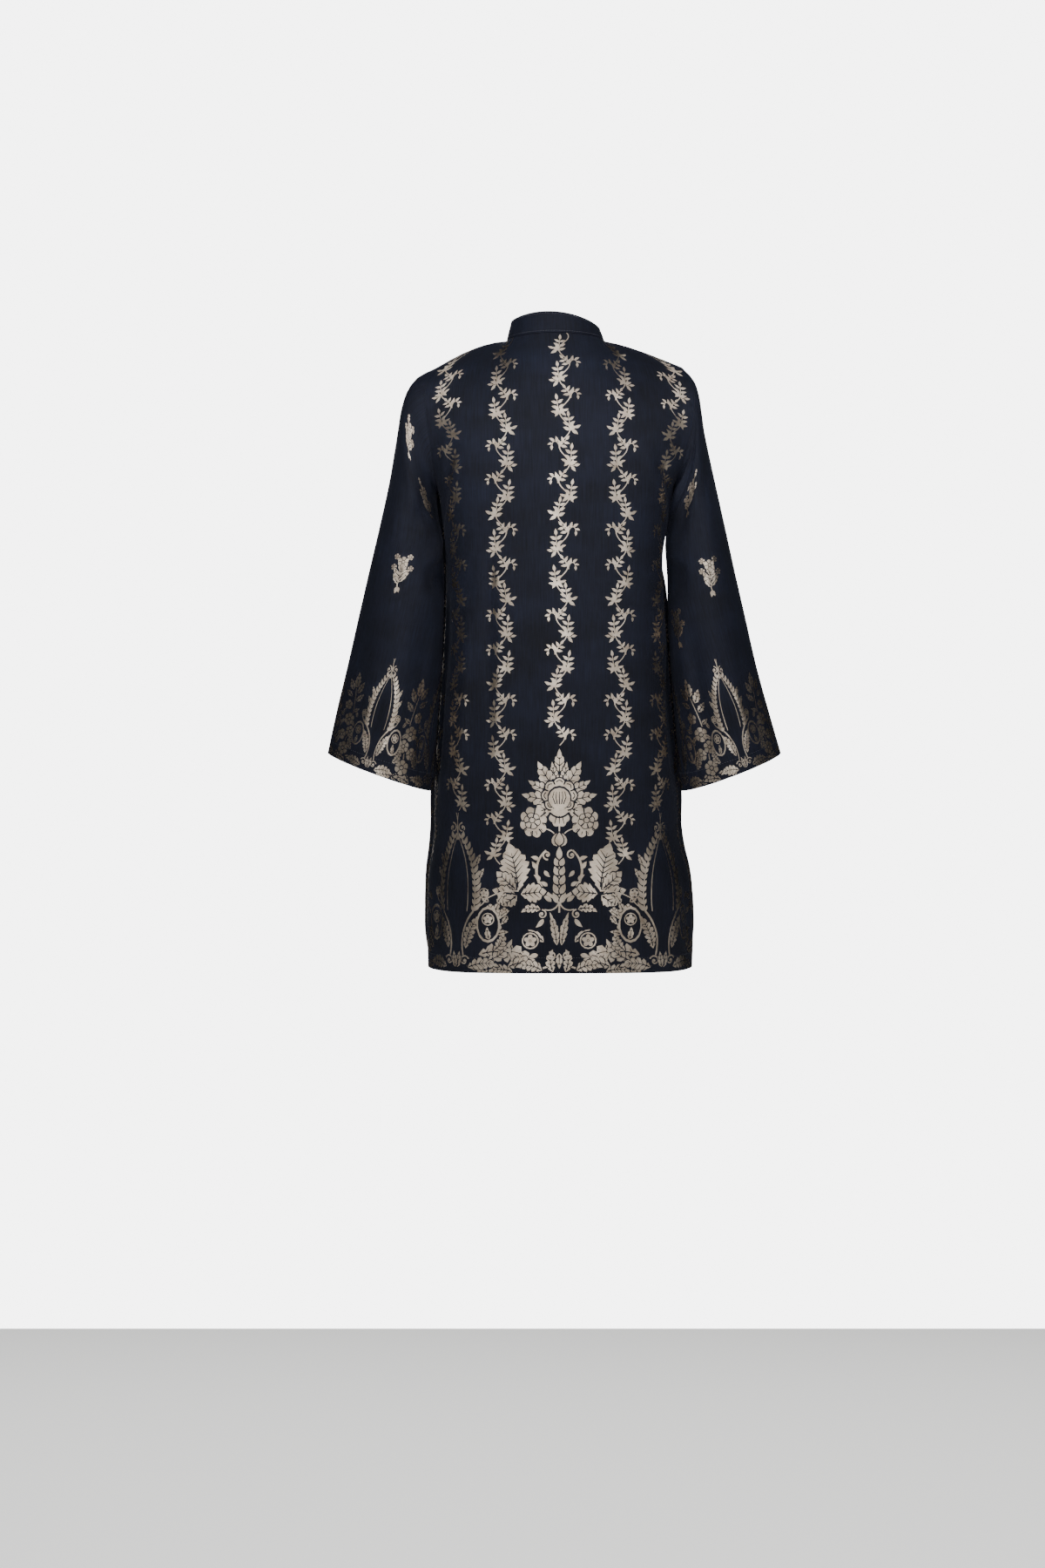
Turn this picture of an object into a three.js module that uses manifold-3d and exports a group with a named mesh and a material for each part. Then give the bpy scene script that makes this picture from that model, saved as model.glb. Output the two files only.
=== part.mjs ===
// A long band-collar shirt in patterned cloth, as it hangs when worn, hollow and with its sleeves at its sides.
// Millimetres, +Z up. The front faces -Y, the back +Y, and the wearer's left is +X.
// The origin is in the neck opening, level with the ends of the shoulder seams at the neck.
// Every piece is a cloth wall: a grid of points on the outer face, and the same grid moved in by the cloth's thickness.

import * as THREE from 'three';
import Module from 'manifold-3d';

// Cloth and seams
const CLOTH = 2;
const SEAM_GAP = 0.3;
const COLLAR_CLOTH = 2.6;

// Body
const UNDERARM_Z = -200;
const HEM_SIDE_Z = -824;
const HEM_CENTRE_Z = -815;
const SLIT_TOP_Z = -655;
const SLIT_OPENING = 9;
const CHEST_SQUARENESS = 0.075;
const HALF_PANEL = 235;

// Neck and shoulders
const NECK_SHIFT = 4;
const NECK_HALF_WIDTH = 64;
const NECK_BACK = { y: 65, z: 2 };
const NECK_FRONT = { y: -72, z: -52 };
const SHOULDER_TIP = { left: 157, right: 159, z: -33 };
const SHOULDER_ROUNDING = { left: 1.7, right: 1.3 };
const YOKE_ARC = { underarm: 90, shoulder: 46, settlesAt: 0.45 };
const TOP_PULL = { from: 0.35, to: 1.15 };

// Armholes
const ARMHOLE_HALF_DEPTH = 66;
const FRONT_SCOOP = 5;

// Directions in which the cloth is thick at the seams: how far each is turned up at the neck, and down at the underarm
const NECK_TURN_UP = { centre: 0.5, shoulder: 1.2 };
const SHOULDER_TIP_DIRECTION = { out: 0.4, up: 0.92 };
const UNDERARM_TURN_FROM = 0.72;

// Collar
const COLLAR_HEIGHT = { back: 27, side: 19, front: 29 };
const COLLAR_LEAN = 6;
const COLLAR_TILT = 4.5;
const COLLAR_END_GAP = 1.2;
const COLLAR_CORNER_CUT = 4;

// Neck slit and its placket
const SLIT_LENGTH = 225;
const SLIT_WIDTH = 1.2;
const SLIT_CUTTER = { standOff: 1, pastNeck: 6 };
const PLACKET_WIDTH = 30;
const PLACKET_LENGTH = 245;

// Grids: how many cells each piece has
const PANEL_CELLS = { across: 24, skirt: 20, yoke: 12, neck: 12 };
const SLEEVE_CELLS = { cap: 7, arm: 12 };
const RELAX_PASSES = 8;

// Where folds may act. Fractions are of the way to a panel's side, up its yoke, or along a sleeve.
const FOLD_FADE = { share: 0.35, most: 90 };
const PANEL_HELD = { sideFrom: 0.84, yokeFrom: 0.5, yokeTo: 0.9 };
const SLEEVE_HELD = 0.14;
const CAP_SHARE = 0.3;
const SLEEVE_CLOTH = { perDegree: 1.05, length: 500 };
const COLLAR_CELLS_UP = 3;

// The body at each height: to the left and right side seams, how far the back and the front stand off them, and how
// square the section's corners are.
const BODY_SECTIONS = [
  { z: -824, left: 173, right: 179, back: 124, front: 126, square: 0.05 },
  { z: -755, left: 174, right: 180, back: 121, front: 123, square: 0.05 },
  { z: -700, left: 172, right: 174, back: 119, front: 121, square: 0.05 },
  { z: -650, left: 165, right: 161, back: 117, front: 119, square: 0.05 },
  { z: -590, left: 164, right: 160, back: 116, front: 118, square: 0.05 },
  { z: -470, left: 156, right: 150, back: 113, front: 117, square: 0.05 },
  { z: -400, left: 151, right: 144, back: 109, front: 116, square: 0.05 },
  { z: -340, left: 148, right: 139, back: 106, front: 116, square: 0.052 },
  { z: -280, left: 148, right: 137, back: 105, front: 116, square: 0.056 },
  { z: -236, left: 152, right: 139, back: 107, front: 116, square: 0.064 },
  { z: -200, left: 157, right: 147, back: 109, front: 116, square: 0.075 },
];

// The centre lines above the underarm.
const CENTRE_BACK = [
  { z: -240, y: 107 },
  { z: -200, y: 109 },
  { z: -130, y: 110 },
  { z: -75, y: 103 },
  { z: -30, y: 87 },
  { z: 2, y: 65 },
];
const CENTRE_FRONT = [
  { z: -240, y: 116 },
  { z: -200, y: 116 },
  { z: -150, y: 112 },
  { z: -100, y: 98 },
  { z: -52, y: 72 },
];

// How far out each armhole seam lies, by height.
const ARMHOLE_EDGE = [
  { z: -200, left: 157, right: 147 },
  { z: -183, left: 160, right: 153 },
  { z: -134, left: 166, right: 167 },
  { z: -86, left: 172, right: 174 },
  { z: -60, left: 170, right: 172 },
  { z: -33, left: 157, right: 159 },
];

// The sleeves below the cap: each row is one ring, by its outer and inner edge, its middle in Y and its half depth.
const SLEEVE_RINGS = [
  { outZ: -195, outLeft: 224, outRight: 208, inZ: -238, inLeft: 156, inRight: 143, middle: 2, deep: 64 },
  { outZ: -245, outLeft: 235, outRight: 219, inZ: -268, inLeft: 151.5, inRight: 140.5, middle: 9, deep: 62 },
  { outZ: -305, outLeft: 249, outRight: 232, inZ: -310, inLeft: 149.5, inRight: 143, middle: 16, deep: 61 },
  { outZ: -362, outLeft: 262, outRight: 245, inZ: -367, inLeft: 150, inRight: 143.5, middle: 22, deep: 61 },
  { outZ: -424, outLeft: 276, outRight: 259, inZ: -436, inLeft: 153, inRight: 147.5, middle: 28, deep: 64 },
  { outZ: -482, outLeft: 290, outRight: 275, inZ: -512, inLeft: 159, inRight: 154, middle: 32, deep: 68 },
  { outZ: -537, outLeft: 302, outRight: 291, inZ: -587, inLeft: 163.5, inRight: 160, middle: 35, deep: 73 },
];
const CAP_REACH = { left: 56, right: 14, underarm: 6 };
const CAP_DROP = { shoulder: 58, underarm: 14 };

// The largest folds. Across is in mm of cloth from the panel's centre line towards the wearer's left, depth is
// outwards, and each fold runs from its first point to its second and fades at both ends.
const BACK_FOLDS = [
  { across: 92, z: -290, toAcross: 96, toZ: -560, width: 15, depth: -3.5 },
  { across: 118, z: -330, toAcross: 116, toZ: -600, width: 17, depth: 3 },
  { across: -150, z: -150, toAcross: -205, toZ: -215, width: 13, depth: -6 },
  { across: -176, z: -250, toAcross: -168, toZ: -480, width: 16, depth: 3.5 },
  { across: 165, z: -140, toAcross: 196, toZ: -230, width: 13, depth: -4.5 },
  { across: -95, z: -560, toAcross: -120, toZ: -830, width: 26, depth: 5 },
  { across: 70, z: -600, toAcross: 95, toZ: -830, width: 26, depth: 4.5 },
  { across: -20, z: -620, toAcross: -15, toZ: -830, width: 24, depth: -4 },
  { across: 150, z: -640, toAcross: 158, toZ: -830, width: 18, depth: -4 },
  { across: -165, z: -640, toAcross: -180, toZ: -830, width: 18, depth: -4 },
  { across: 190, z: -300, toAcross: 192, toZ: -610, width: 20, depth: -5 },
  { across: -192, z: -380, toAcross: -192, toZ: -610, width: 20, depth: -4.5 },
];
const FRONT_FOLDS = [
  { across: 150, z: -130, toAcross: 200, toZ: -215, width: 14, depth: -5.5 },
  { across: -150, z: -135, toAcross: -198, toZ: -220, width: 14, depth: -5 },
  { across: 105, z: -300, toAcross: 112, toZ: -590, width: 17, depth: -3.5 },
  { across: -98, z: -330, toAcross: -108, toZ: -600, width: 18, depth: 3.5 },
  { across: 85, z: -580, toAcross: 102, toZ: -830, width: 26, depth: 5 },
  { across: -80, z: -600, toAcross: -96, toZ: -830, width: 26, depth: 4.5 },
  { across: 5, z: -560, toAcross: 10, toZ: -830, width: 26, depth: -4.5 },
  { across: 160, z: -650, toAcross: 172, toZ: -830, width: 18, depth: -4 },
  { across: -158, z: -640, toAcross: -170, toZ: -830, width: 18, depth: -4 },
];

// Sleeve folds. Turn is the angle round the sleeve: 0 on its outer edge, 90 at the back, 180 by the body. Along is
// the distance from the cap to the cuff in parts of one.
const SLEEVE_FOLDS_LEFT = [
  { turn: 140, along: 0.2, toTurn: 75, toAlong: 0.46, width: 15, depth: -5 },
  { turn: 165, along: 0.3, toTurn: 115, toAlong: 0.66, width: 16, depth: 4.5 },
  { turn: 172, along: 0.54, toTurn: 120, toAlong: 0.52, width: 13, depth: -8 },
  { turn: 100, along: 0.56, toTurn: 92, toAlong: 1.02, width: 20, depth: 4.5 },
  { turn: 135, along: 0.66, toTurn: 140, toAlong: 1.02, width: 18, depth: -5 },
  { turn: 45, along: 0.6, toTurn: 48, toAlong: 1.02, width: 18, depth: -3.5 },
  { turn: 215, along: 0.22, toTurn: 285, toAlong: 0.5, width: 16, depth: -5 },
  { turn: 250, along: 0.55, toTurn: 256, toAlong: 1.02, width: 20, depth: 4.5 },
  { turn: 300, along: 0.6, toTurn: 304, toAlong: 1.02, width: 20, depth: -4.5 },
];
const SLEEVE_FOLDS_RIGHT = [
  { turn: 120, along: 0.1, toTurn: 160, toAlong: 0.3, width: 13, depth: 6 },
  { turn: 96, along: 0.16, toTurn: 140, toAlong: 0.42, width: 14, depth: -5 },
  { turn: 170, along: 0.56, toTurn: 122, toAlong: 0.54, width: 13, depth: -8 },
  { turn: 62, along: 0.22, toTurn: 80, toAlong: 0.6, width: 20, depth: 3.5 },
  { turn: 118, along: 0.64, toTurn: 122, toAlong: 1.02, width: 17, depth: -5 },
  { turn: 88, along: 0.6, toTurn: 84, toAlong: 1.02, width: 20, depth: 4.5 },
  { turn: 215, along: 0.2, toTurn: 280, toAlong: 0.46, width: 16, depth: -5 },
  { turn: 262, along: 0.56, toTurn: 258, toAlong: 1.02, width: 20, depth: 4.5 },
  { turn: 310, along: 0.6, toTurn: 306, toAlong: 1.02, width: 20, depth: -4.5 },
];

const radians = THREE.MathUtils.degToRad;
const mix = THREE.MathUtils.lerp;
const ease = THREE.MathUtils.smoothstep;

// Reads one column of a table at a height, along a smooth curve through its rows.
function tableValue(rows, key, column, at) {
  const forward = rows[0][key] < rows[rows.length - 1][key];
  const inOrder = forward ? rows : [...rows].reverse();
  const last = inOrder.length - 1;
  let row = 0;
  while (row < last - 1 && at > inOrder[row + 1][key]) row += 1;
  const slope = (i) => {
    const before = inOrder[Math.max(i - 1, 0)];
    const after = inOrder[Math.min(i + 1, last)];
    return (after[column] - before[column]) / (after[key] - before[key]);
  };
  const here = inOrder[row];
  const next = inOrder[row + 1];
  const span = next[key] - here[key];
  const t = THREE.MathUtils.clamp((at - here[key]) / span, 0, 1);
  const startTerm = (1 + 2 * t) * (1 - t) ** 2 * here[column] + t * (1 - t) ** 2 * span * slope(row);
  const endTerm = t * t * (3 - 2 * t) * next[column] + t * t * (t - 1) * span * slope(row + 1);
  return startTerm + endTerm;
}

// How far one fold lifts the cloth at a place: a soft ridge or trough along a line, fading past the line's ends.
function foldLift(place, from, to, width, depth) {
  const line = to.clone().sub(from);
  const length = line.length();
  const direction = line.divideScalar(length);
  const offset = place.clone().sub(from);
  const along = offset.dot(direction);
  const aside = Math.abs(offset.cross(direction));
  const fadeLength = Math.min(FOLD_FADE.share * length, FOLD_FADE.most);
  const ends = ease(along, -0.5 * width, fadeLength) * (1 - ease(along, length - fadeLength, length + 0.5 * width));
  return depth * ends * Math.exp(-((aside / width) ** 2));
}

// The loose shape of a horizontal section, a rounded rectangle of half width 1 and half depth 1.
function sectionShape(degrees, squareness) {
  const angle = radians(degrees);
  const across = (Math.sin(angle) + squareness * Math.sin(3 * angle)) / (1 - squareness);
  const out = (Math.cos(angle) - squareness * Math.cos(3 * angle)) / (1 - squareness);
  return { across, out };
}

// A point of the body below the underarm. Across runs from -1 at the right side seam to 1 at the left one.
function skirtPoint(across, down, facing) {
  const z = mix(UNDERARM_Z, mix(HEM_CENTRE_Z, HEM_SIDE_Z, across * across), down);
  const left = tableValue(BODY_SECTIONS, 'z', 'left', z);
  const right = tableValue(BODY_SECTIONS, 'z', 'right', z);
  const depth = tableValue(BODY_SECTIONS, 'z', facing > 0 ? 'back' : 'front', z);
  const shape = sectionShape(90 * across, tableValue(BODY_SECTIONS, 'z', 'square', z));
  const halfWidth = (left + right) / 2 + ((left - right) / 2) * Math.sin(radians(90 * across));
  const slit = SLIT_OPENING / 2 * ease(SLIT_TOP_Z - z, 0, SLIT_TOP_Z - HEM_SIDE_Z) * Math.abs(across) ** 8;
  return new THREE.Vector3(halfWidth * shape.across, facing * (depth * shape.out + slit), z);
}

// A point of an armhole seam. Turn runs from 0 at the shoulder tip to 180 at the underarm.
function armholePoint(side, turn, facing) {
  const middle = (SHOULDER_TIP.z + UNDERARM_Z) / 2;
  const z = middle + (SHOULDER_TIP.z - middle) * Math.cos(radians(turn));
  const out = tableValue(ARMHOLE_EDGE, 'z', side > 0 ? 'left' : 'right', z);
  const scoop = facing < 0 ? FRONT_SCOOP * Math.sin(radians(turn)) : 0;
  return new THREE.Vector3(side * (out - scoop), facing * ARMHOLE_HALF_DEPTH * Math.sin(radians(turn)), z);
}

// A point of the neck seam. Turn runs from -90 at the right neck point through 0 at the centre to 90 at the left.
function neckPoint(turn, facing) {
  const neck = facing > 0 ? NECK_BACK : NECK_FRONT;
  const sag = Math.max(Math.cos(radians(turn)), 0);
  const x = NECK_SHIFT + NECK_HALF_WIDTH * Math.sin(radians(turn));
  return new THREE.Vector3(x, neck.y * sag, neck.z * sag ** 1.5);
}

// A point of the yoke's top edge: the neck seam in the middle and a shoulder seam on each side.
function topPoint(across, facing) {
  const neckShare = PANEL_CELLS.neck / PANEL_CELLS.across;
  if (Math.abs(across) <= neckShare) return neckPoint((90 * across) / neckShare, facing);
  const side = Math.sign(across);
  const along = (Math.abs(across) - neckShare) / (1 - neckShare);
  const start = neckPoint(90 * side, facing).x;
  const end = side > 0 ? SHOULDER_TIP.left : -SHOULDER_TIP.right;
  const rounding = side > 0 ? SHOULDER_ROUNDING.left : SHOULDER_ROUNDING.right;
  return new THREE.Vector3(mix(start, end, along), 0, SHOULDER_TIP.z * along ** rounding);
}

// A point of the panel above the underarm: rows stretch between the armholes and are drawn to the top edge.
function yokePoint(across, up, facing) {
  const neck = facing > 0 ? NECK_BACK : NECK_FRONT;
  const roundedPoint = (height) => {
    const turn = 180 * (1 - height);
    const left = armholePoint(1, turn, facing);
    const right = armholePoint(-1, turn, facing);
    const rise = (1 - Math.cos(Math.PI * height)) / 2;
    const centreZ = mix(UNDERARM_Z, neck.z, rise);
    const centreY = tableValue(facing > 0 ? CENTRE_BACK : CENTRE_FRONT, 'z', 'y', centreZ);
    const arc = mix(YOKE_ARC.underarm, YOKE_ARC.shoulder, ease(height, 0, YOKE_ARC.settlesAt));
    const shape = sectionShape(arc * across, CHEST_SQUARENESS);
    const edge = sectionShape(arc, CHEST_SQUARENESS);
    const spread = shape.across / edge.across;
    const bulge = (shape.out - edge.out) / (1 - edge.out);
    const halfWidth = (left.x - right.x) / 2 + ((left.x + right.x) / 2) * Math.sin(radians(90 * across));
    const edgeY = Math.abs(left.y);
    const z = mix(left.z, centreZ, 1 - across * across);
    return new THREE.Vector3(halfWidth * spread, facing * mix(edgeY, centreY, bulge), z);
  };
  const drawn = ease(up, TOP_PULL.from, TOP_PULL.to) / ease(1, TOP_PULL.from, TOP_PULL.to);
  const pull = topPoint(across, facing).sub(roundedPoint(1));
  return roundedPoint(up).addScaledVector(pull, drawn);
}

// Smooths a grid from one row up, with its edges held, so that the pull of the top edge spreads evenly.
function relax(grid, firstRow, times) {
  for (let pass = 0; pass < times; pass += 1) {
    const before = grid.map((row) => row.map((point) => point.clone()));
    for (let i = firstRow; i < grid.length - 1; i += 1) {
      for (let j = 1; j < grid[0].length - 1; j += 1) {
        const mean = before[i][j - 1].clone().add(before[i][j + 1]).add(before[i - 1][j]).add(before[i + 1][j]);
        grid[i][j].lerp(mean.divideScalar(4), 0.5);
      }
    }
  }
}

// Normals of a grid of points, by the slopes between neighbours. A closed grid wraps round from last to first.
function gridNormals(grid, closed) {
  const rows = grid.length;
  const columns = grid[0].length;
  return grid.map((row, i) => row.map((_, j) => {
    const before = closed ? (j + columns - 1) % columns : Math.max(j - 1, 0);
    const after = closed ? (j + 1) % columns : Math.min(j + 1, columns - 1);
    const acrossSlope = row[after].clone().sub(row[before]);
    const upSlope = grid[Math.min(i + 1, rows - 1)][j].clone().sub(grid[Math.max(i - 1, 0)][j]);
    return acrossSlope.cross(upSlope).normalize();
  }));
}

// A closed wall from its outer points and the directions in which it is thick.
function wall(grid, normals, thickness, closed) {
  const rows = grid.length;
  const columns = grid[0].length;
  const inner = grid.map((row, i) => row.map((point, j) => point.clone().addScaledVector(normals[i][j], -thickness)));
  const positions = [...grid.flat(), ...inner.flat()].flatMap((point) => point.toArray());
  const outerAt = (i, j) => i * columns + (j % columns);
  const innerAt = (i, j) => rows * columns + outerAt(i, j);
  const faces = [];
  const quad = (a, b, c, d) => faces.push(a, b, c, a, c, d);
  const heights = grid.flat().map((point) => point.z);
  // A rim's faces are split from its lower outer corner, so that the rims of two sewn pieces match.
  const rim = (outerA, innerA, innerB, outerB) => {
    if (heights[outerA] <= heights[outerB]) quad(outerA, innerA, innerB, outerB);
    else quad(innerA, innerB, outerB, outerA);
  };
  const cellColumns = closed ? columns : columns - 1;
  for (let i = 0; i < rows - 1; i += 1) {
    for (let j = 0; j < cellColumns; j += 1) {
      quad(outerAt(i, j), outerAt(i, j + 1), outerAt(i + 1, j + 1), outerAt(i + 1, j));
      quad(innerAt(i, j), innerAt(i + 1, j), innerAt(i + 1, j + 1), innerAt(i, j + 1));
    }
  }
  const top = rows - 1;
  for (let j = 0; j < cellColumns; j += 1) {
    rim(outerAt(0, j), innerAt(0, j), innerAt(0, j + 1), outerAt(0, j + 1));
    rim(outerAt(top, j + 1), innerAt(top, j + 1), innerAt(top, j), outerAt(top, j));
  }
  if (!closed) {
    const last = columns - 1;
    for (let i = 0; i < top; i += 1) {
      rim(outerAt(i + 1, 0), innerAt(i + 1, 0), innerAt(i, 0), outerAt(i, 0));
      rim(outerAt(i, last), innerAt(i, last), innerAt(i + 1, last), outerAt(i + 1, last));
    }
  }
  const geometry = new THREE.BufferGeometry();
  geometry.setAttribute('position', new THREE.Float32BufferAttribute(positions, 3));
  geometry.setIndex(faces);
  geometry.computeVertexNormals();
  return geometry;
}

// The outer points of a panel, row by row from the hem to the top edge. Columns run so that the face points out.
function panelGrid(facing, folds) {
  const rows = PANEL_CELLS.skirt + PANEL_CELLS.yoke;
  const grid = [];
  const places = [];
  for (let i = 0; i <= rows; i += 1) {
    grid.push([]);
    places.push([]);
    for (let j = 0; j <= PANEL_CELLS.across; j += 1) {
      const across = -facing * ((2 * j) / PANEL_CELLS.across - 1);
      const up = Math.max((i - PANEL_CELLS.skirt) / PANEL_CELLS.yoke, 0);
      const down = 1 - Math.min(i / PANEL_CELLS.skirt, 1);
      const point = up > 0 ? yokePoint(across, up, facing) : skirtPoint(across, down, facing);
      grid[i].push(point.add(new THREE.Vector3(0, (facing * SEAM_GAP) / 2, 0)));
      places[i].push({ across, up });
    }
  }
  relax(grid, PANEL_CELLS.skirt - 2, RELAX_PASSES);
  const normals = gridNormals(grid, false);
  grid.forEach((row, i) => row.forEach((point, j) => {
    const { across, up } = places[i][j];
    const onCloth = new THREE.Vector2(across * HALF_PANEL, point.z);
    const sideHeld = 1 - ease(Math.abs(across), PANEL_HELD.sideFrom, 1);
    const held = sideHeld * (1 - ease(up, PANEL_HELD.yokeFrom, PANEL_HELD.yokeTo));
    const lift = folds.reduce((sum, fold) => sum + foldLift(
      onCloth,
      new THREE.Vector2(fold.across, fold.z),
      new THREE.Vector2(fold.toAcross, fold.toZ),
      fold.width,
      fold.depth,
    ), 0);
    point.addScaledVector(normals[i][j], held * lift);
  }));
  return { grid, places, facing };
}

// The direction in which the cloth is thick along the neck seam, shared by the panels and the collar.
function neckNormal(turn, facing) {
  const angle = radians(turn);
  const lift = NECK_TURN_UP.centre + NECK_TURN_UP.shoulder * Math.sin(angle) ** 4;
  return new THREE.Vector3(Math.sin(angle), facing * Math.abs(Math.cos(angle)), lift).normalize();
}

// Normals of a panel, with each sewn edge turned to the direction that it shares with the piece across the seam.
function panelNormals({ grid, places, facing }) {
  const normals = gridNormals(grid, false);
  const neckShare = PANEL_CELLS.neck / PANEL_CELLS.across;
  const top = grid.length - 1;
  return normals.map((row, i) => row.map((normal, j) => {
    const { across, up } = places[i][j];
    const side = Math.sign(across);
    const onSideEdge = Math.abs(across) === 1;
    if (onSideEdge && i < PANEL_CELLS.skirt) return new THREE.Vector3(side, 0, 0);
    if (onSideEdge && i === PANEL_CELLS.skirt) return new THREE.Vector3(side, 0, -1).normalize();
    if (onSideEdge && i === top) {
      return new THREE.Vector3(SHOULDER_TIP_DIRECTION.out * side, 0, SHOULDER_TIP_DIRECTION.up).normalize();
    }
    if (onSideEdge) return normal.add(new THREE.Vector3(0, 0, -ease(1 - up, UNDERARM_TURN_FROM, 1))).normalize();
    if (i === top && Math.abs(across) <= neckShare) return neckNormal((90 * across) / neckShare, facing);
    if (i === top) return new THREE.Vector3(normal.x, 0, normal.z).normalize();
    return normal;
  }));
}

// The armhole's seam line as a ring of points and directions, from both panels' edges. It starts at the shoulder
// tip and goes round so that the sleeve's face points out.
function armholeRing(side, back, front) {
  const steps = PANEL_CELLS.yoke;
  const edgeColumn = (panel) => panel.places[0].findIndex((place) => place.across === side);
  const edgeOf = (panel, step) => {
    const i = PANEL_CELLS.skirt + steps - step;
    const j = edgeColumn(panel);
    return { point: panel.grid[i][j].clone(), normal: panel.normals[i][j].clone() };
  };
  const ring = [];
  for (let k = 0; k < 2 * steps; k += 1) {
    const turnStep = side > 0 ? (2 * steps - k) % (2 * steps) : k;
    const step = turnStep <= steps ? turnStep : 2 * steps - turnStep;
    const place = edgeOf(turnStep <= steps ? back : front, step);
    if (turnStep % steps === 0) place.point.y = 0;
    ring.push({ ...place, turn: (180 * turnStep) / steps });
  }
  ring.forEach((place, k) => {
    const next = ring[(k + 1) % ring.length].point;
    const before = ring[(k + ring.length - 1) % ring.length].point;
    const away = next.clone().sub(before).cross(place.normal).normalize();
    place.away = away.multiplyScalar(Math.sign(away.x * side));
  });
  return ring;
}

// A point of a sleeve below its cap. Down runs from 0 at the first ring to 1 at the cuff.
function sleevePoint(side, down, turn) {
  const rows = SLEEVE_RINGS.map((row, i) => ({ ...row, down: i / (SLEEVE_RINGS.length - 1) }));
  const name = side > 0 ? 'Left' : 'Right';
  const read = (column) => tableValue(rows, 'down', column, down);
  const outer = new THREE.Vector3(side * read(`out${name}`), 0, read('outZ'));
  const inner = new THREE.Vector3(side * read(`in${name}`), 0, read('inZ'));
  const point = inner.lerp(outer, (1 + Math.cos(radians(turn))) / 2);
  point.y = read('middle') + read('deep') * Math.sin(radians(turn));
  return point;
}

// The outer points of a sleeve, ring by ring from the armhole over the cap and down to the cuff.
function sleeveGrid(side, ring, folds) {
  const grid = [];
  const alongs = [];
  const reach = side > 0 ? CAP_REACH.left : CAP_REACH.right;
  for (let i = 0; i <= SLEEVE_CELLS.cap; i += 1) {
    const t = i / SLEEVE_CELLS.cap;
    grid.push(ring.map(({ point, away, turn }) => {
      const upperness = (1 + Math.cos(radians(turn))) / 2;
      const start = point.clone().addScaledVector(away, SEAM_GAP);
      const end = sleevePoint(side, 0, turn);
      const downward = sleevePoint(side, 0.04, turn).sub(end).normalize();
      const leaving = start.clone().addScaledVector(away, mix(CAP_REACH.underarm, reach, upperness));
      const arriving = end.clone().addScaledVector(downward, -mix(CAP_DROP.underarm, CAP_DROP.shoulder, upperness));
      return new THREE.CubicBezierCurve3(start, leaving, arriving, end).getPoint(t);
    }));
    alongs.push(CAP_SHARE * t);
  }
  for (let i = 1; i <= SLEEVE_CELLS.arm; i += 1) {
    const down = i / SLEEVE_CELLS.arm;
    grid.push(ring.map(({ turn }) => sleevePoint(side, down, turn)));
    alongs.push(mix(CAP_SHARE, 1, down));
  }
  const onCloth = (turn, along) => new THREE.Vector2(turn * SLEEVE_CLOTH.perDegree, along * SLEEVE_CLOTH.length);
  const normals = gridNormals(grid, true);
  grid.forEach((row, i) => row.forEach((point, j) => {
    const lift = folds.reduce((sum, fold) => sum + foldLift(
      onCloth(ring[j].turn, alongs[i]),
      onCloth(fold.turn, fold.along),
      onCloth(fold.toTurn, fold.toAlong),
      fold.width,
      fold.depth,
    ), 0);
    point.addScaledVector(normals[i][j], ease(alongs[i], 0, SLEEVE_HELD) * lift);
  }));
  return grid;
}

// The collar's outer points, from the neck seam up. The band starts and ends at the centre front.
function collarGrid() {
  const cells = 2 * PANEL_CELLS.neck;
  const seam = [];
  for (let j = 0; j <= cells; j += 1) {
    const round = 180 - (360 * j) / cells;
    const facing = Math.abs(round) <= 90 ? 1 : -1;
    const turn = facing > 0 ? round : Math.sign(round) * (180 - Math.abs(round));
    const point = neckPoint(turn, facing);
    if (Math.abs(round) !== 90) point.y += (facing * SEAM_GAP) / 2;
    seam.push({ point, round, normal: neckNormal(turn, facing) });
  }
  const endShare = COLLAR_END_GAP / 2 / Math.abs(seam[0].point.x - seam[1].point.x);
  seam[0].point.lerp(seam[1].point, endShare);
  seam[cells].point.lerp(seam[cells - 1].point, endShare);
  const grid = [];
  for (let i = 0; i <= COLLAR_CELLS_UP; i += 1) {
    grid.push(seam.map(({ point, round, normal }, j) => {
      const angle = radians(round);
      const middle = Math.abs(round) <= 90 ? COLLAR_HEIGHT.back : COLLAR_HEIGHT.front;
      const cornerCut = j === 0 || j === cells ? COLLAR_CORNER_CUT : 0;
      const height = mix(COLLAR_HEIGHT.side, middle, Math.cos(angle) ** 2) + COLLAR_TILT * Math.sin(angle) - cornerCut;
      const neighbour = seam[Math.min(j + 1, cells)].point.clone().sub(seam[Math.max(j - 1, 0)].point);
      const away = neighbour.cross(normal).normalize();
      away.multiplyScalar(Math.sign(away.z));
      const up = i / COLLAR_CELLS_UP;
      const lean = new THREE.Vector3(Math.sin(angle), Math.cos(angle), 0).multiplyScalar(-COLLAR_LEAN * up);
      return point.clone().addScaledVector(away, SEAM_GAP).add(lean).add(new THREE.Vector3(0, 0, height * up));
    }));
  }
  const normals = gridNormals(grid, false);
  normals[0] = seam.map(({ normal }) => normal);
  return { grid, normals };
}

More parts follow.
